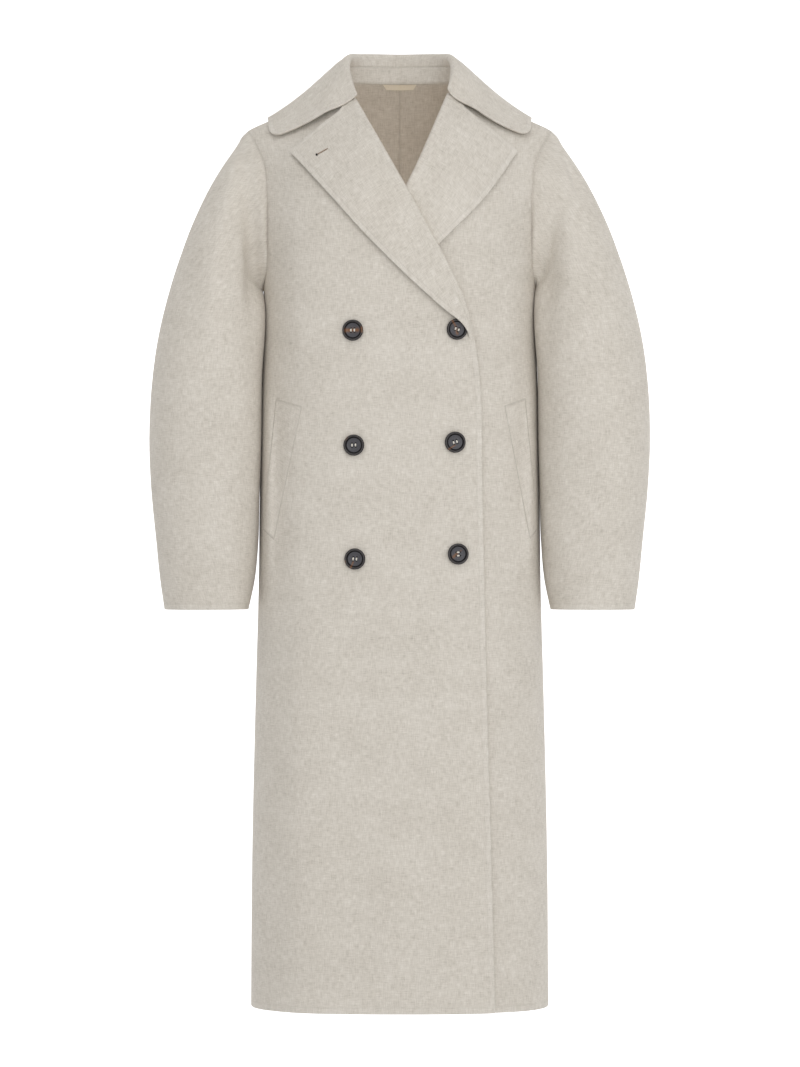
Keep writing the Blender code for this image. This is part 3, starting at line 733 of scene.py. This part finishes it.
# cloth coordinates of a sleeve: arc length of the ellipse through a level cut, from the sleeve's outer side,
# summed over 17 steps of its angle, and height. The ellipse's middle moves to the armhole towards the top
def sleeveUv(points):
    rings = sleeveForm["rings"]
    x, y, z = np.moveaxis(points, -1, 0)
    middleX = sleeveForm["uvMiddleX"][0] + sleeveForm["uvMiddleX"][1] * ease(-0.06, -0.36, z)
    wide = np.interp(-z, [0.053, *-rings["outerZ"]], [0.197, *rings["outerX"]]) - middleX
    deep = np.interp(-z, -rings["outerZ"], rings["halfDepth"])
    middleY = -np.interp(-z, -rings["outerZ"], rings["forward"])
    turn = np.arctan2((middleY - y) / deep, (x - middleX) / wide)
    step = turn[..., None] * np.linspace(0, 1, 17)
    speed = np.hypot(wide[..., None] * np.sin(step), deep[..., None] * np.cos(step))
    return stack(turn * speed.mean(axis=-1), z)


def makeSleeve(side):
    form, rings = sleeveForm, sleeveForm["rings"]
    line = armholeLine(form["around"] + 1)
    front = frontPoints("left", line[:, 0], line[:, 1])
    back = stack(line[:, 0], bodyY(line[:, 0], line[:, 1], 1), line[:, 1])
    front[[0, -1], 1] = 0
    seamRing = np.concatenate([front[::-1], back[1:-1]])
    turn = np.linspace(0, 2 * np.pi, len(seamRing), endpoint=False)[None]
    outer = stack(rings["outerX"], 0, rings["outerZ"])[:, None]
    inner = stack(rings["innerX"], 0, rings["innerZ"])[:, None]
    power = 2 / form["square"]
    across = np.sign(np.cos(turn)) * np.abs(np.cos(turn)) ** power
    deep = np.sign(np.sin(turn)) * np.abs(np.sin(turn)) ** power
    ovals = (outer + inner) / 2 + (outer - inner) / 2 * across[..., None]
    ovals[..., 1] -= rings["halfDepth"][:, None] * deep + rings["forward"][:, None]
    places = np.linspace(0, 1, form["along"] + 1) ** 1.35
    points = splineRows(np.concatenate([seamRing[None], ovals]), places)
    normals = gridNormals(points, wrap=True)
    uv = sleeveUv(points)
    part = places[:, None]
    lift = slack(turn * 0.07, part * 0.65, 0.0010, 5.0 if side == "right" else 6.0) * ease(0.05, 0.25, part)
    degrees = np.degrees(turn)
    inFront = ease(0.05, 0.5, np.sin(turn)) * ease(0.0, 0.06, part)
    lift = lift + foldLift(form["frontFolds"][side], points[..., 0], points[..., 2]) * inFront
    folds = form["roundFolds"]
    columns = ("roundStart", "roundEnd", "halfWidth", side, "start", "end")
    for place, placeEnd, width, height, first, last in zip(*(folds[name] for name in columns)):
        bend = 4 * np.sin(part * 9 + place)  # keeps a fold from running dead straight
        middle = place + (placeEnd - place) * np.clip((part - first) / (last - first), 0, 1) + bend
        near = np.clip(np.abs(degrees - middle) / width, 0, 1)
        length = np.clip(np.abs(part - (first + last) / 2) * 2 / (last - first), 0, 1)
        lift = lift + height * (1 - near**2) ** 2 * (1 - length**2) ** 2 * ease(0.0, 0.06, part)
    down = lengthAlong(points, 0)
    top = 0.5 + 0.5 * np.cos(turn)
    low = ease(0.3, 0.75, 1 - top)  # the seam draws in towards the underarm
    lift = lift - (0.0004 + 0.0016 * low) * np.exp(-((down / 0.0045) ** 2))
    lift = lift + 0.0016 * top * np.exp(-(((down - 0.012) / 0.008) ** 2))
    points = points + normals * lift[..., None]
    edge = down[-1:] - down
    piece = sidePiece("sleeve", side, points, form["thick"], uv, 8.0, seam=down, edge=edge, wrap=True)


bothSides(makeSleeve, "sleeves")


# lapels: a section carried along the roll line. It starts behind the front, turns round the front's
# edge in a half circle and lies on the front out to its own edge
def makeLapel(side):
    form, lapel = lapelForm, lapelForm[side]
    along = np.linspace(0, 5, form["rows"] + 1)[:, None]
    roll = lineAt(lapel, "along", "rollX rollZ", along)
    far = lineAt(lapel, "along", "edgeX edgeZ", along)
    width = np.linalg.norm(far - roll, axis=-1)
    chord = unit(far - roll)
    near, middle, last = form["lift"][side]
    grow = ease(0.0, 0.7, along)
    behind = np.minimum(form["behind"], width) * np.linspace(1, 0, 5)[None, :-1]
    low = -(form["behindDepth"] * (0.62 + 0.38 * grow))
    rise = 0.10 + 0.90 * ease(0.0, 0.28, along)  # the foot sinks into the front's edge
    high = (near + form["thick"]) * rise
    turn = np.linspace(-np.pi / 2, np.pi / 2, 11)[None]
    radius = (high - low) / 2
    arcOff = radius * (1 - np.cos(turn)) * 0.8
    arcUp = (high + low) / 2 + radius * np.sin(turn)
    t = np.linspace(0, 1, form["columns"] + 1)[None, 1:]
    lift = near + (last - near) * t + (middle - (near + last) / 2) * 4 * t * (1 - t)
    if side == "right":
        lift = np.maximum(lift, form["footLift"] * (1 - ease(1.0, 2.0, along)) * ease(0.0, 0.22, t))
    turned = 2 * radius * 0.4
    off = np.concatenate([turned + behind, arcOff, turned + (width - turned) * t], axis=1)
    up = np.concatenate([low + 0 * behind, arcUp, (form["thick"] + lift) * rise], axis=1)
    tuckIn = ease(4.6, 5.0, along) * (1 - ease(0.16, 0.26, off / width))  # goes under the collar
    rising = unit(np.gradient(roll[:, 0], axis=0))[:, None]
    x = roll[..., 0] + chord[..., 0] * off + rising[..., 0] * form["underCollar"] * tuckIn
    z = roll[..., 1] + chord[..., 1] * off + rising[..., 1] * form["underCollar"] * tuckIn
    up = up - form["underCollarDepth"] * tuckIn
    points = frontPoints(side, x, z) + frontNormals(side, x, z) * up[..., None]
    skip = len(behind[0]) + len(turn[0])
    sideways, lengthwise = lengthAlong(points, 1), lengthAlong(points, 0)
    edge = np.minimum(sideways[:, -1:] - sideways, lengthwise[-1:] - lengthwise)
    edge = np.where(np.arange(points.shape[1])[None] < skip, 1.0, edge)
    piece = sidePiece("lapel", side, points, form["thick"], stack(off, lengthwise), 12.0, edge=edge)


bothSides(makeLapel, "lapels")

# collar: stations round the neck with the fold, where the leaf lies and its outer edge
collarForm = {
    "stations": rowsOf(
        "station foldX foldY foldZ lieX lieY edgeX edgeY",
        (0, -0.0553, -0.0590, -0.0100, -0.1052, -0.0552, -0.1655, -0.0368),
        (1, -0.0676, -0.0270, 0.0240, -0.1130, -0.0340, -0.1700, -0.0130),
        (2, -0.0662, 0.0100, 0.0460, -0.1120, 0.0110, -0.1640, 0.0130),
        (3, -0.0480, 0.0560, 0.0525, -0.0760, 0.0660, -0.1040, 0.0700),
        (4, 0.0000, 0.0770, 0.0540, 0.0000, 0.0920, 0.0000, 0.1040),
        (5, 0.0480, 0.0560, 0.0525, 0.0760, 0.0660, 0.1040, 0.0700),
        (6, 0.0662, 0.0100, 0.0460, 0.1120, 0.0110, 0.1640, 0.0130),
        (7, 0.0698, -0.0270, 0.0240, 0.1130, -0.0340, 0.1700, -0.0130),
        (8, 0.0622, -0.0520, -0.0015, 0.1086, -0.0515, 0.1671, -0.0344),
    ),
    "edgeLift": 0.0052,
    "foldRadius": 0.0048,
    "steepest": 4.0,
    "standPart": 0.60,
    "standEnds": 0.75,
    "standGap": 0.0006,
    "fallLeast": 0.06,
    "fallMost": 1.0,
    "leafStart": 0.09,
    "leafSink": 1.25,
    "leafLength": 0.115,
    "tipRadius": 0.011,
    "endLift": (-0.0011, -0.0034),
    "tipLift": (0.0048, 0.0032),
    "puff": 0.0036,
    "columns": 220,
    "rows": 64,
    "thick": 0.0030,
}


# height of the body's top side over a point of the plan, found by halving
def topZ(x, y):
    high = curveAt(shoulder, "x", "z", np.abs(x))
    low = high - 0.19
    for _ in range(40):
        middle = (low + high) / 2
        reach = np.where(y < 0, -bodyY(x, middle, -1), bodyY(x, middle, 1))
        inside = reach > np.abs(y)
        low = np.where(inside, middle, low)
        high = np.where(inside, high, middle)
    return (low + high) / 2


def topLift(x, y, off):
    near = 0.0005
    slopeX = (topZ(x + near, y) - topZ(x - near, y)) / (2 * near)
    slopeY = (topZ(x, y + near) - topZ(x, y - near)) / (2 * near)
    return off * np.sqrt(1 + np.minimum(slopeX**2 + slopeY**2, collarForm["steepest"] ** 2))


# the neck seam from the right lapel round the back to the left one
def neckSeam(station):
    ends = [(lapelForm[side]["rollX"][-1], lapelForm[side]["rollZ"][-1]) for side in ("right", "left")]
    neckX = bodyForm["neckX"]
    x = np.interp(station, (0, 2, 4, 6, 8), (-ends[0][0], -neckX, 0, neckX, ends[1][0]))
    ahead = (station < 2) | (station > 6)
    frontZ = np.interp(station, (0, 2, 6, 8), (ends[0][1], bodyForm["neckZ"], bodyForm["neckZ"], ends[1][1]))
    backZ = bodyForm["backNeckZ"] + (bodyForm["neckZ"] - bodyForm["backNeckZ"]) * (x / neckX) ** 2
    z = np.where(ahead, frontZ, backZ)
    return stack(x, np.where(ahead, bodyY(x, z, -1), bodyY(x, z, 1)), z)


def collarLines(station):
    rows = collarForm["stations"]
    fold = lineAt(rows, "station", "foldX foldY foldZ", station)
    lie = lineAt(rows, "station", "lieX lieY", station)
    edge = lineAt(rows, "station", "edgeX edgeY", station)
    out = unit(stack(*(edge - fold[:, :2]).T, np.zeros(len(station))))
    radius = collarForm["foldRadius"]
    head = fold - out * radius * 0.8 - np.array([0, 0, radius * 0.9])
    gap = collarForm["standGap"]
    foot = neckSeam(station) - out * (collarForm["thick"] + gap) + np.array([0, 0, gap])
    return fold, lie, edge, out, head, foot


# the stand: a straight band from the neck seam part of the way up to the fold
def makeStand():
    form = collarForm
    station = np.linspace(form["standEnds"], 8 - form["standEnds"], 140)
    head, foot = collarLines(station)[-2:]
    face = foot + (head - foot) * np.linspace(-0.04, form["standPart"], 14)[:, None, None]
    up = lengthAlong(face, 0)
    uv = stack(lengthAlong(face, 1) + 16.0, up)
    seam = np.minimum(up, up[-1:] - up)
    piece = clothShell("wool_collar_stand", face, form["thick"] * 0.9, uv, woolBody, seam)
    settle(piece, "wool", "collar_stand")


# the fall: up from the stand, over the fold, and out over the shoulders to its edge
def makeFall():
    form = collarForm
    station = np.linspace(0, 8, form["columns"] + 1)
    fold, lie, edge, out, head, foot = collarLines(station)
    endLift = np.where(station < 4, *form["endLift"])[:, None]
    tipLift = np.where(station < 4, *form["tipLift"])[:, None]
    reach = np.clip(np.minimum(station, 8 - station) / form["standEnds"], 0, 1)[:, None]
    seamLine = foot + (head - foot) * form["standPart"]
    start = head + (seamLine - head) * (form["fallLeast"] + (form["fallMost"] - form["fallLeast"]) * reach)
    fromEnd = np.minimum(station, 8 - station)
    full = ease(0.0, 0.9, fromEnd)[:, None]
    facing = np.where(station[:, None] < 4, np.array([-0.39, -0.72, 0.57]), np.array([0.42, -0.68, 0.60]))
    head = head * full + (fold + out * 0.0002 - facing * 0.0028) * (1 - full)
    start = start * full + (fold + out * 0.0070 - facing * 0.0072) * (1 - full)
    rows = [start, head, fold]
    foldLiftZ = fold[:, 2] - topZ(fold[:, 0], fold[:, 1])
    edgeRun = lengthAlong(edge[None], 1)[0]
    turnIn = np.clip(1 - np.minimum(edgeRun, edgeRun[-1] - edgeRun) / form["tipRadius"], 0, 1)
    reachT = 1 - form["tipRadius"] * (1 - np.sqrt(1 - turnIn**2)) / form["leafLength"]
    for part in np.linspace(form["leafStart"], 1, 7):
        t = (part * reachT)[:, None]
        plan = (1 - t) * (1 - 2 * t) * fold[:, :2] + 4 * t * (1 - t) * lie + t * (2 * t - 1) * edge
        edgeLift = topLift(plan[:, 0], plan[:, 1], form["edgeLift"])
        lift = edgeLift + (foldLiftZ - edgeLift) * (1 - t[:, 0]) ** form["leafSink"]
        leaf = stack(plan[:, 0], plan[:, 1], topZ(plan[:, 0], plan[:, 1]) + lift)
        swell = form["puff"] * np.sin(np.pi * part**0.5) * (0.25 + 0.75 * full)
        tip = tipLift * ease(0.18, 0.36, part) * (1 - 0.5 * ease(0.5, 1, part))
        raised = endLift * (1 - ease(0.18, 0.32, part)) + tip
        rows.append(leaf + facing * raised * (1 - full) + unit(out + np.array([0, 0, 1.0])) * swell)
    places = np.linspace(0, 1, form["rows"] + 1)
    points = splineRows(np.stack(rows), places)
    down, around = lengthAlong(points, 0), lengthAlong(points, 1)
    toFront = np.minimum(around, around[:, -1:] - around)
    fromEdge = np.minimum(down[-1:] - down, np.where(places[:, None] > 0.4, toFront, 1.0))
    uv = stack((station * 0.055 + 18.0)[None], down)
    piece = clothShell("wool_collar_fall", points, form["thick"], uv, woolBody, down, fromEdge)
    settle(piece, "wool", "collar_fall")


makeStand()
makeFall()
print("collar done")

# pocket welts: strips on the fronts between four corners, inner and outer, top and foot
weltForm = {
    "right": ((0.1254, -0.4147), (0.1586, -0.4048), (0.1615, -0.5840), (0.1752, -0.5714)),
    "left": ((0.1345, -0.4135), (0.1610, -0.4035), (0.1675, -0.5830), (0.1768, -0.5710)),
    "thick": 0.0018,
    "lift": 0.0006,
    "columns": 30,
    "rows": 90,
}


def makeWelt(side):
    u = np.linspace(0, 1, weltForm["columns"] + 1)[None, :, None]
    v = np.linspace(1, 0, weltForm["rows"] + 1)[:, None, None]
    innerTop, outerTop, innerFoot, outerFoot = (np.array(corner) for corner in weltForm[side])
    flat = (1 - v) * ((1 - u) * innerTop + u * outerTop) + v * ((1 - u) * innerFoot + u * outerFoot)
    x, z = flat[..., 0], flat[..., 1]
    points = frontPoints(side, x, z) + frontNormals(side, x, z) * weltForm["lift"]
    across, up = lengthAlong(points, 1), lengthAlong(points, 0)
    # the welt's seam mark runs in from its edges, so painted shade outlines the welt
    ends = np.minimum(up, up[-1:] - up) * 0.8
    near = np.minimum(np.minimum(across, across[:, -1:] - across) * 3.0, ends)
    uv = stack(across, up)
    piece = sidePiece("welt", side, points, weltForm["thick"], uv, 20.0, woolWelt, "pocket_welt", seam=near)


bothSides(makeWelt, "welts")


# horn: near black with a slate dish and brown where it is streaked; by radius it also has painted shade in
# the groove between dish and rim, a painted highlight ring on the rim and a darker outer edge
def hornMaterial():
    material, tree, shader = newMaterial("darkHorn")
    place = clothPlace(tree)
    grain = addNoise(tree, place, (900, 900, 1), 1.0, 3.0)
    fine = addNoise(tree, place, (240, 1500, 1), 1.0, 3.0, 9.0)
    uneven = addMath(tree, "SUBTRACT", grain, 0.5)
    radius = addMath(tree, "MULTIPLY_ADD", uneven, 0.05, readMark(tree, "radius"))
    greyAndPaintedLight = addRamp(
        tree,
        radius,
        (0.00, (0.078, 0.076, 0.084)),
        (0.66, (0.064, 0.062, 0.069)),
        # painted shade: near black in the groove between dish and rim
        (0.71, (0.005, 0.004, 0.005)),
        (0.77, (0.004, 0.003, 0.003)),
        (0.83, (0.038, 0.034, 0.034)),
        # painted highlight ring on the rim, then darker at the outer edge
        (0.90, (0.066, 0.060, 0.060)),
        (0.97, (0.016, 0.013, 0.013)),
    )
    patchy = addMath(tree, "MULTIPLY_ADD", grain, 1.1, 0.35)
    mask = addMath(tree, "MULTIPLY", readMark(tree, "streak"), patchy)
    streaked = addMix(tree, mask, greyAndPaintedLight, (0.215, 0.098, 0.042, 1))
    looks = {
        # painted shade: near black inside the four holes
        "Base Color": addMix(tree, readMark(tree, "holeShade"), streaked, (0.004, 0.003, 0.003, 1)),
        "Roughness": addMath(tree, "MULTIPLY_ADD", fine, 0.2, 0.26),
        "Normal": addBump(tree, fine, 0.2, 0.0002),
        "Specular IOR Level": 0.3,
    }
    setInputs(tree, shader, looks)
    return material


# thread and tape: two tones mixed by a stretched noise, which also raises the surface
def twistMaterial(name, stretch, detail, dark, pale, bump, roughness):
    material, tree, shader = newMaterial(name)
    twist = addNoise(tree, clothPlace(tree), stretch, 1.0, detail)
    looks = {
        "Base Color": addRamp(tree, twist, (0.3, dark), (0.7, pale)),
        "Normal": addBump(tree, twist, bump, 0.0002),
        "Roughness": roughness,
    }
    setInputs(tree, shader, looks)
    return material


darkHorn = hornMaterial()
threadTones = (0.60, 0.55, 0.47), (0.86, 0.83, 0.77)
paleThread = twistMaterial("paleThread", (900, 4200, 1), 2.0, *threadTones, 0.5, 0.8)

# buttons: a turned outline, with the four holes pressed down into the dish
buttonForm = {
    "places": {
        "button_upper_right": (-0.0594, -0.3179, 0),
        "button_middle_right": (-0.0581, -0.4641, 4),
        "button_lower_right": (-0.0568, -0.6090, -4),
        "button_upper_left": (0.0725, -0.3166, -22),
        "button_middle_left": (0.0703, -0.4603, 16),
        "button_lower_left": (0.0741, -0.6027, 92),
    },
    # brown streaks as shares of the radius, to the right and up: x0, y0, x1, y1, half width, strength
    "streaks": {
        "button_upper_right": ((-0.62, -0.02, 0.48, 0.02, 0.17, 1.0), (0.88, -0.12, 0.86, 0.25, 0.10, 0.8)),
        "button_middle_right": ((-0.80, 0.50, -0.62, 0.72, 0.07, 0.35),),
        "button_lower_right": (
            (-0.16, -0.30, -0.40, -0.84, 0.07, 0.9),
            (-0.95, -0.20, -0.92, -0.36, 0.06, 0.8),
        ),
        "button_upper_left": ((-0.48, 0.82, -0.15, 0.30, 0.08, 0.9), (-0.12, 0.20, 0.02, -0.42, 0.12, 0.8)),
        "button_middle_left": ((-0.74, -0.74, -0.02, -0.28, 0.06, 0.9),),
        "button_lower_left": ((-0.44, -0.26, -0.12, 0.02, 0.13, 0.9), (0.20, 0.28, 0.30, 0.36, 0.07, 0.5)),
    },
    "outline": rowsOf(
        "radius height",
        (0.0002, 0.0000),
        (0.0104, 0.0000),
        (0.0126, 0.0006),
        (0.0134, 0.0019),
        (0.0132, 0.0032),
        (0.0124, 0.0039),
        (0.0114, 0.0039),
        (0.0106, 0.0033),
        (0.0100, 0.0021),
        (0.0094, 0.0026),
        (0.0064, 0.0024),
        (0.0002, 0.0022),
    ),
    "lift": 0.0005,
    "holeRadius": 0.0012,
    "holeSpread": 0.0022,
    "holeDepth": 0.0014,
    "around": 96,
    "rows": 90,
    "strandRadius": 0.00042,
}


# a button's own axes on the right front: across, up and out, turned in its plane
def buttonAxes(x, z, degrees):
    at = toSide(frontPoints("right", np.array(-x), np.array(z)), "right")
    out = toSide(frontNormals("right", np.array(-x), np.array(z)), "right")
    across = unit(np.cross(np.array([0, 0, 1.0]), out))
    up = np.cross(out, across)
    angle = np.radians(degrees)
    turned = across * np.cos(angle) + up * np.sin(angle)
    return at + out * buttonForm["lift"], turned, np.cross(out, turned), out


# strength of the streaks at points of a button: each falls off as a bell with distance from its line
def streakMark(streaks, x, y):
    mark = 0 * x
    for x0, y0, x1, y1, width, strength in streaks:
        dx, dy = x1 - x0, y1 - y0
        t = np.clip(((x - x0) * dx + (y - y0) * dy) / (dx * dx + dy * dy), 0, 1)
        apart = np.hypot(x - x0 - dx * t, y - y0 - dy * t)
        mark = np.maximum(mark, strength * np.exp(-((apart / width) ** 2)))
    return mark


def makeButton(name, x, z, degrees, number):
    form = buttonForm
    outline = form["outline"]
    corners = stack(outline["radius"], outline["height"])[:, None]
    profile = splineRows(corners, np.linspace(0, 1, form["rows"] + 1))
    radius, height = profile[:, 0, 0][:, None], profile[:, 0, 1][:, None]
    turn = np.linspace(0, 2 * np.pi, form["around"], endpoint=False)[None]
    across, up = radius * np.cos(turn), radius * np.sin(turn)
    face = (np.arange(form["rows"] + 1) > form["rows"] // 2)[:, None]
    hole = np.hypot(np.abs(across) - form["holeSpread"], np.abs(up) - form["holeSpread"])
    height = height - form["holeDepth"] * (1 - ease(0.75, 1.15, hole / form["holeRadius"])) * face
    origin, sideways, upward, out = buttonAxes(x, z, degrees)
    points = origin + across[..., None] * sideways + up[..., None] * upward + height[..., None] * out
    uv = stack(across + number * 0.31, up + number * 0.17).reshape(-1, 2)
    whole = outline["radius"].max()
    angle = np.radians(degrees)
    levelX = (across * np.cos(angle) - up * np.sin(angle)) / whole
    levelY = (across * np.sin(angle) + up * np.cos(angle)) / whole
    marks = {
        "radius": np.broadcast_to(radius / whole, across.shape).reshape(-1),
        "streak": streakMark(form["streaks"][name], levelX, levelY).reshape(-1),
        # where painted shade fills the holes
        "holeShade": ((1 - ease(0.75, 1.05, hole / form["holeRadius"])) * face).reshape(-1),
    }
    faces = tubeFaces(np.arange(across.size).reshape(across.shape))
    label = name.replace("button", "horn_button")
    piece = meshPiece(label, points.reshape(-1, 3), faces, uv, darkHorn, marks)
    settle(piece, "horn", name)
    makeThreads(name, origin, sideways, upward, out)


# a round strand along a line of points: circles across it in the plane of two side directions
def strandGrid(path, radius, sides=8):
    ahead = unit(np.gradient(path, axis=0))
    first = unit(np.cross(ahead, np.array([0.31, 0.77, 0.55])))
    second = np.cross(ahead, first)
    turn = np.linspace(0, 2 * np.pi, sides, endpoint=False)[None, :, None]
    return path[:, None] + radius * (first[:, None] * np.cos(turn) + second[:, None] * np.sin(turn))


# several strands joined in one mesh, each closed at both ends
def strandPiece(name, paths, radius, look):
    points, faces, uv = [], [], []
    used = 0
    for path in paths:
        grid = strandGrid(path, radius)
        rows, columns = grid.shape[:2]
        faces += tubeFaces(used + np.arange(rows * columns).reshape(rows, columns))
        points.append(grid.reshape(-1, 3))
        uv.append(stack(lengthAlong(grid, 0), np.linspace(0, 0.002, columns)[None]).reshape(-1, 2))
        used += rows * columns
    return meshPiece(name, np.concatenate(points), faces, np.concatenate(uv), look)


# two thread bars on each button, three strands each, arched from hole to hole
def makeThreads(name, origin, sideways, upward, out):
    spread = buttonForm["holeSpread"]
    t = np.linspace(-1, 1, 13)[:, None]
    paths = []
    for bar in (-spread, spread):
        for strand in (-0.55, 0.0, 0.55):
            arch = 0.0031 - 0.0018 * t**4
            apart = bar + strand * 0.001 * (1 - 0.3 * t**2)
            paths.append(origin + sideways * apart + upward * spread * t * 0.78 + out * arch)
    piece = strandPiece(name.replace("button", "thread"), paths, buttonForm["strandRadius"], paleThread)
    settle(piece, "tape")


for number, (name, (x, z, degrees)) in enumerate(buttonForm["places"].items()):
    makeButton(name, x, z, degrees, number)
print("buttons done")

# hanger loop: a tape against the inside of the back neck, narrower at its foot
loopForm = {
    "topHalf": 0.0230,
    "footHalf": 0.0180,
    "topZ": 0.0152,
    "footZ": 0.0084,
    "thick": 0.0011,
    "off": 0.0034,
}
tapeTones = (0.86, 0.79, 0.65), (0.93, 0.87, 0.74)
wovenTape = twistMaterial("wovenTape", (2400, 300, 1), 1.0, *tapeTones, 0.2, 0.85)


def makeLoop():
    down = np.linspace(1, 0, 17)[:, None]
    across = np.linspace(-1, 1, 61)[None]
    x = across * (loopForm["topHalf"] + (loopForm["footHalf"] - loopForm["topHalf"]) * down)
    z = loopForm["topZ"] + (loopForm["footZ"] - loopForm["topZ"]) * down
    points = stack(x, bodyY(x, z, 1), z)
    points = points + gridNormals(points) * loopForm["off"]
    piece = clothShell("hanger_tape", points, loopForm["thick"], stack(x, z + 0 * x), wovenTape)
    settle(piece, "tape", "hanger_loop")


makeLoop()
print("hanger loop done")

# the lapel's keyhole buttonhole: a stitched slit, and at its outer end a near-black eye painted as the shade
# of the opening
keyholeForm = {
    "slit": ((0.0921, -0.0840), (0.1062, -0.0917)),
    "lift": 0.0003,
    "threadRadius": 0.00030,
    "eyeRadius": 0.0013,
}


def flatMaterial(name, colour, roughness):
    material, tree, shader = newMaterial(name)
    setInputs(tree, shader, {"Base Color": (*colour, 1), "Roughness": roughness})
    return material


# points of the right lapel's outer face that show at (x, z), lifted by a small amount: its own place is
# corrected by what the lift along the slanting normal moves it
def onLapel(x, z, lift):
    near, middle, last = lapelForm["lift"]["right"]
    above = middle + (last - near) / 4 + lapelForm["thick"] + lift
    baseX, baseZ = x, z
    for _ in range(3):
        points = frontPoints("right", baseX, baseZ) + frontNormals("right", baseX, baseZ) * above
        baseX, baseZ = baseX + x - points[..., 0], baseZ + z - points[..., 2]
    return toSide(points, "right")


def makeKeyhole():
    (x0, z0), (x1, z1) = keyholeForm["slit"]
    t = np.linspace(0, 1, 25)
    apart = np.array([z1 - z0, -(x1 - x0)]) / np.hypot(x1 - x0, z1 - z0) * keyholeForm["threadRadius"] * 0.8
    paths = [
        onLapel(x0 + (x1 - x0) * t + k * apart[0], z0 + (z1 - z0) * t + k * apart[1], keyholeForm["lift"])
        for k in (-1, 1)
    ]
    brown = flatMaterial("brownThread", (0.27, 0.18, 0.115), 0.8)
    settle(strandPiece("keyhole_stitches", paths, keyholeForm["threadRadius"], brown), "tape")
    turn = np.linspace(0, 2 * np.pi, 25)
    ring = keyholeForm["eyeRadius"] * 0.55
    eye = onLapel(x1 + ring * np.cos(turn), z1 + ring * np.sin(turn), keyholeForm["lift"])
    # painted shade: a near-black disc for the eye's opening
    dark = flatMaterial("eyeHoleShade", (0.018, 0.014, 0.012), 0.7)
    settle(strandPiece("keyhole_eye", [eye], keyholeForm["eyeRadius"] * 0.6, dark), "tape")


makeKeyhole()
print("keyhole done")

# studio: a pale sweep, soft lights from the front, the right and above, a small warm one inside the coat
# and an even sky. Each light: place, size, power, tint and aim
studio = {
    "floorZ": -1.45,
    "wallY": 2.2,
    "bend": 0.8,
    "paper": (0.90, 0.90, 0.90),
    "paperGlow": 0.55,
    "sky": 0.56,
    "lights": {
        "front": ((0.6, -3.7, 0.20), 2.2, 28.0, (1, 1, 1), (0.0, 0.0, -0.45)),
        "right": ((3.4, -3.4, 0.0), 2.4, 19.0, (1, 1, 1), (0.0, 0.0, -0.5)),
        "top": ((-0.3, -2.0, 2.4), 1.8, 19.0, (1, 1, 1), (0.0, 0.0, -0.4)),
        "inside": ((0.0, -0.03, -0.45), 0.10, 0.27, (1, 0.86, 0.72), (0.0, 0.06, -0.05)),
    },
    "distance": 6.0,
    "frameHeight": 1.3871,
    "centre": (0.0004, -0.5766),
}


def aimAt(thing, target):
    ahead = unit(np.array(target) - np.array(thing.location))
    back = -ahead
    right = unit(np.cross(np.array([0, 0, 1.0]), back))
    up = np.cross(back, right)
    matrix = np.eye(4)
    matrix[:3, 0], matrix[:3, 1], matrix[:3, 2], matrix[:3, 3] = right, up, back, thing.location
    thing.matrix_world = matrix.T.tolist()


def makeSweep():
    bend = studio["bend"]
    turn = np.linspace(0, np.pi / 2, 25)
    y = np.concatenate([[-5.0], studio["wallY"] - bend + bend * np.sin(turn), [studio["wallY"]]])
    z = np.concatenate([[0.0], bend - bend * np.cos(turn), [4.5]]) + studio["floorZ"]
    points = stack(np.array([-6.0, 6.0])[None], y[:, None], z[:, None])
    faces = gridQuads(np.arange(len(y) * 2).reshape(-1, 2)).tolist()
    material, tree, shader = newMaterial("paleSweep")
    place = addNode(tree, "ShaderNodeTexCoord").outputs["Object"]
    depth = addNode(tree, "ShaderNodeSeparateXYZ", {0: place}).outputs["Y"]
    glow = addRamp(tree, depth, (0.45, (0, 0, 0)), (1.0, (1, 1, 1)))  # only the far part glows
    looks = {
        "Base Color": (*studio["paper"], 1),
        "Roughness": 1.0,
        "Specular IOR Level": 0.0,
        "Emission Color": glow,
        "Emission Strength": studio["paperGlow"],
    }
    setInputs(tree, shader, looks)
    behind = addNode(tree, "ShaderNodeNewGeometry").outputs["Backfacing"]
    clear = addNode(tree, "ShaderNodeBsdfTransparent").outputs[0]  # from behind, to hide no back view
    mix = addNode(tree, "ShaderNodeMixShader", {0: behind, 1: shader.outputs[0], 2: clear})
    output = next(node for node in tree.nodes if node.type == "OUTPUT_MATERIAL")
    tree.links.new(mix.outputs[0], output.inputs["Surface"])
    sweep = meshPiece("sweep", points.reshape(-1, 3), faces, points[..., :2].reshape(-1, 2), material)


def makeLights():
    for name, (place, size, power, tint, aim) in studio["lights"].items():
        data = bpy.data.lights.new(name, "AREA")
        data.shape = "DISK"
        data.size = size
        data.energy = power
        data.color = tint
        lamp = bpy.data.objects.new(name, data)
        bpy.context.scene.collection.objects.link(lamp)
        lamp.location = place
        aimAt(lamp, aim)
    world = bpy.data.worlds.new("sky")
    world.use_nodes = True
    sky = world.node_tree.nodes["Background"]
    setInputs(world.node_tree, sky, {"Color": (1, 1, 1, 1), "Strength": studio["sky"]})
    bpy.context.scene.world = world


def makeCamera():
    data = bpy.data.cameras.new("camera")
    data.sensor_fit = "VERTICAL"
    data.sensor_height = 24.0
    data.lens = data.sensor_height * studio["distance"] / studio["frameHeight"]
    camera = bpy.data.objects.new("camera", data)
    bpy.context.scene.collection.objects.link(camera)
    x, z = studio["centre"]
    camera.location = (x, -studio["distance"], z)
    aimAt(camera, (x, 0, z))
    bpy.context.scene.camera = camera


makeSweep()
makeLights()
makeCamera()
bpy.context.scene.view_settings.view_transform = "Standard"
print("studio ready")
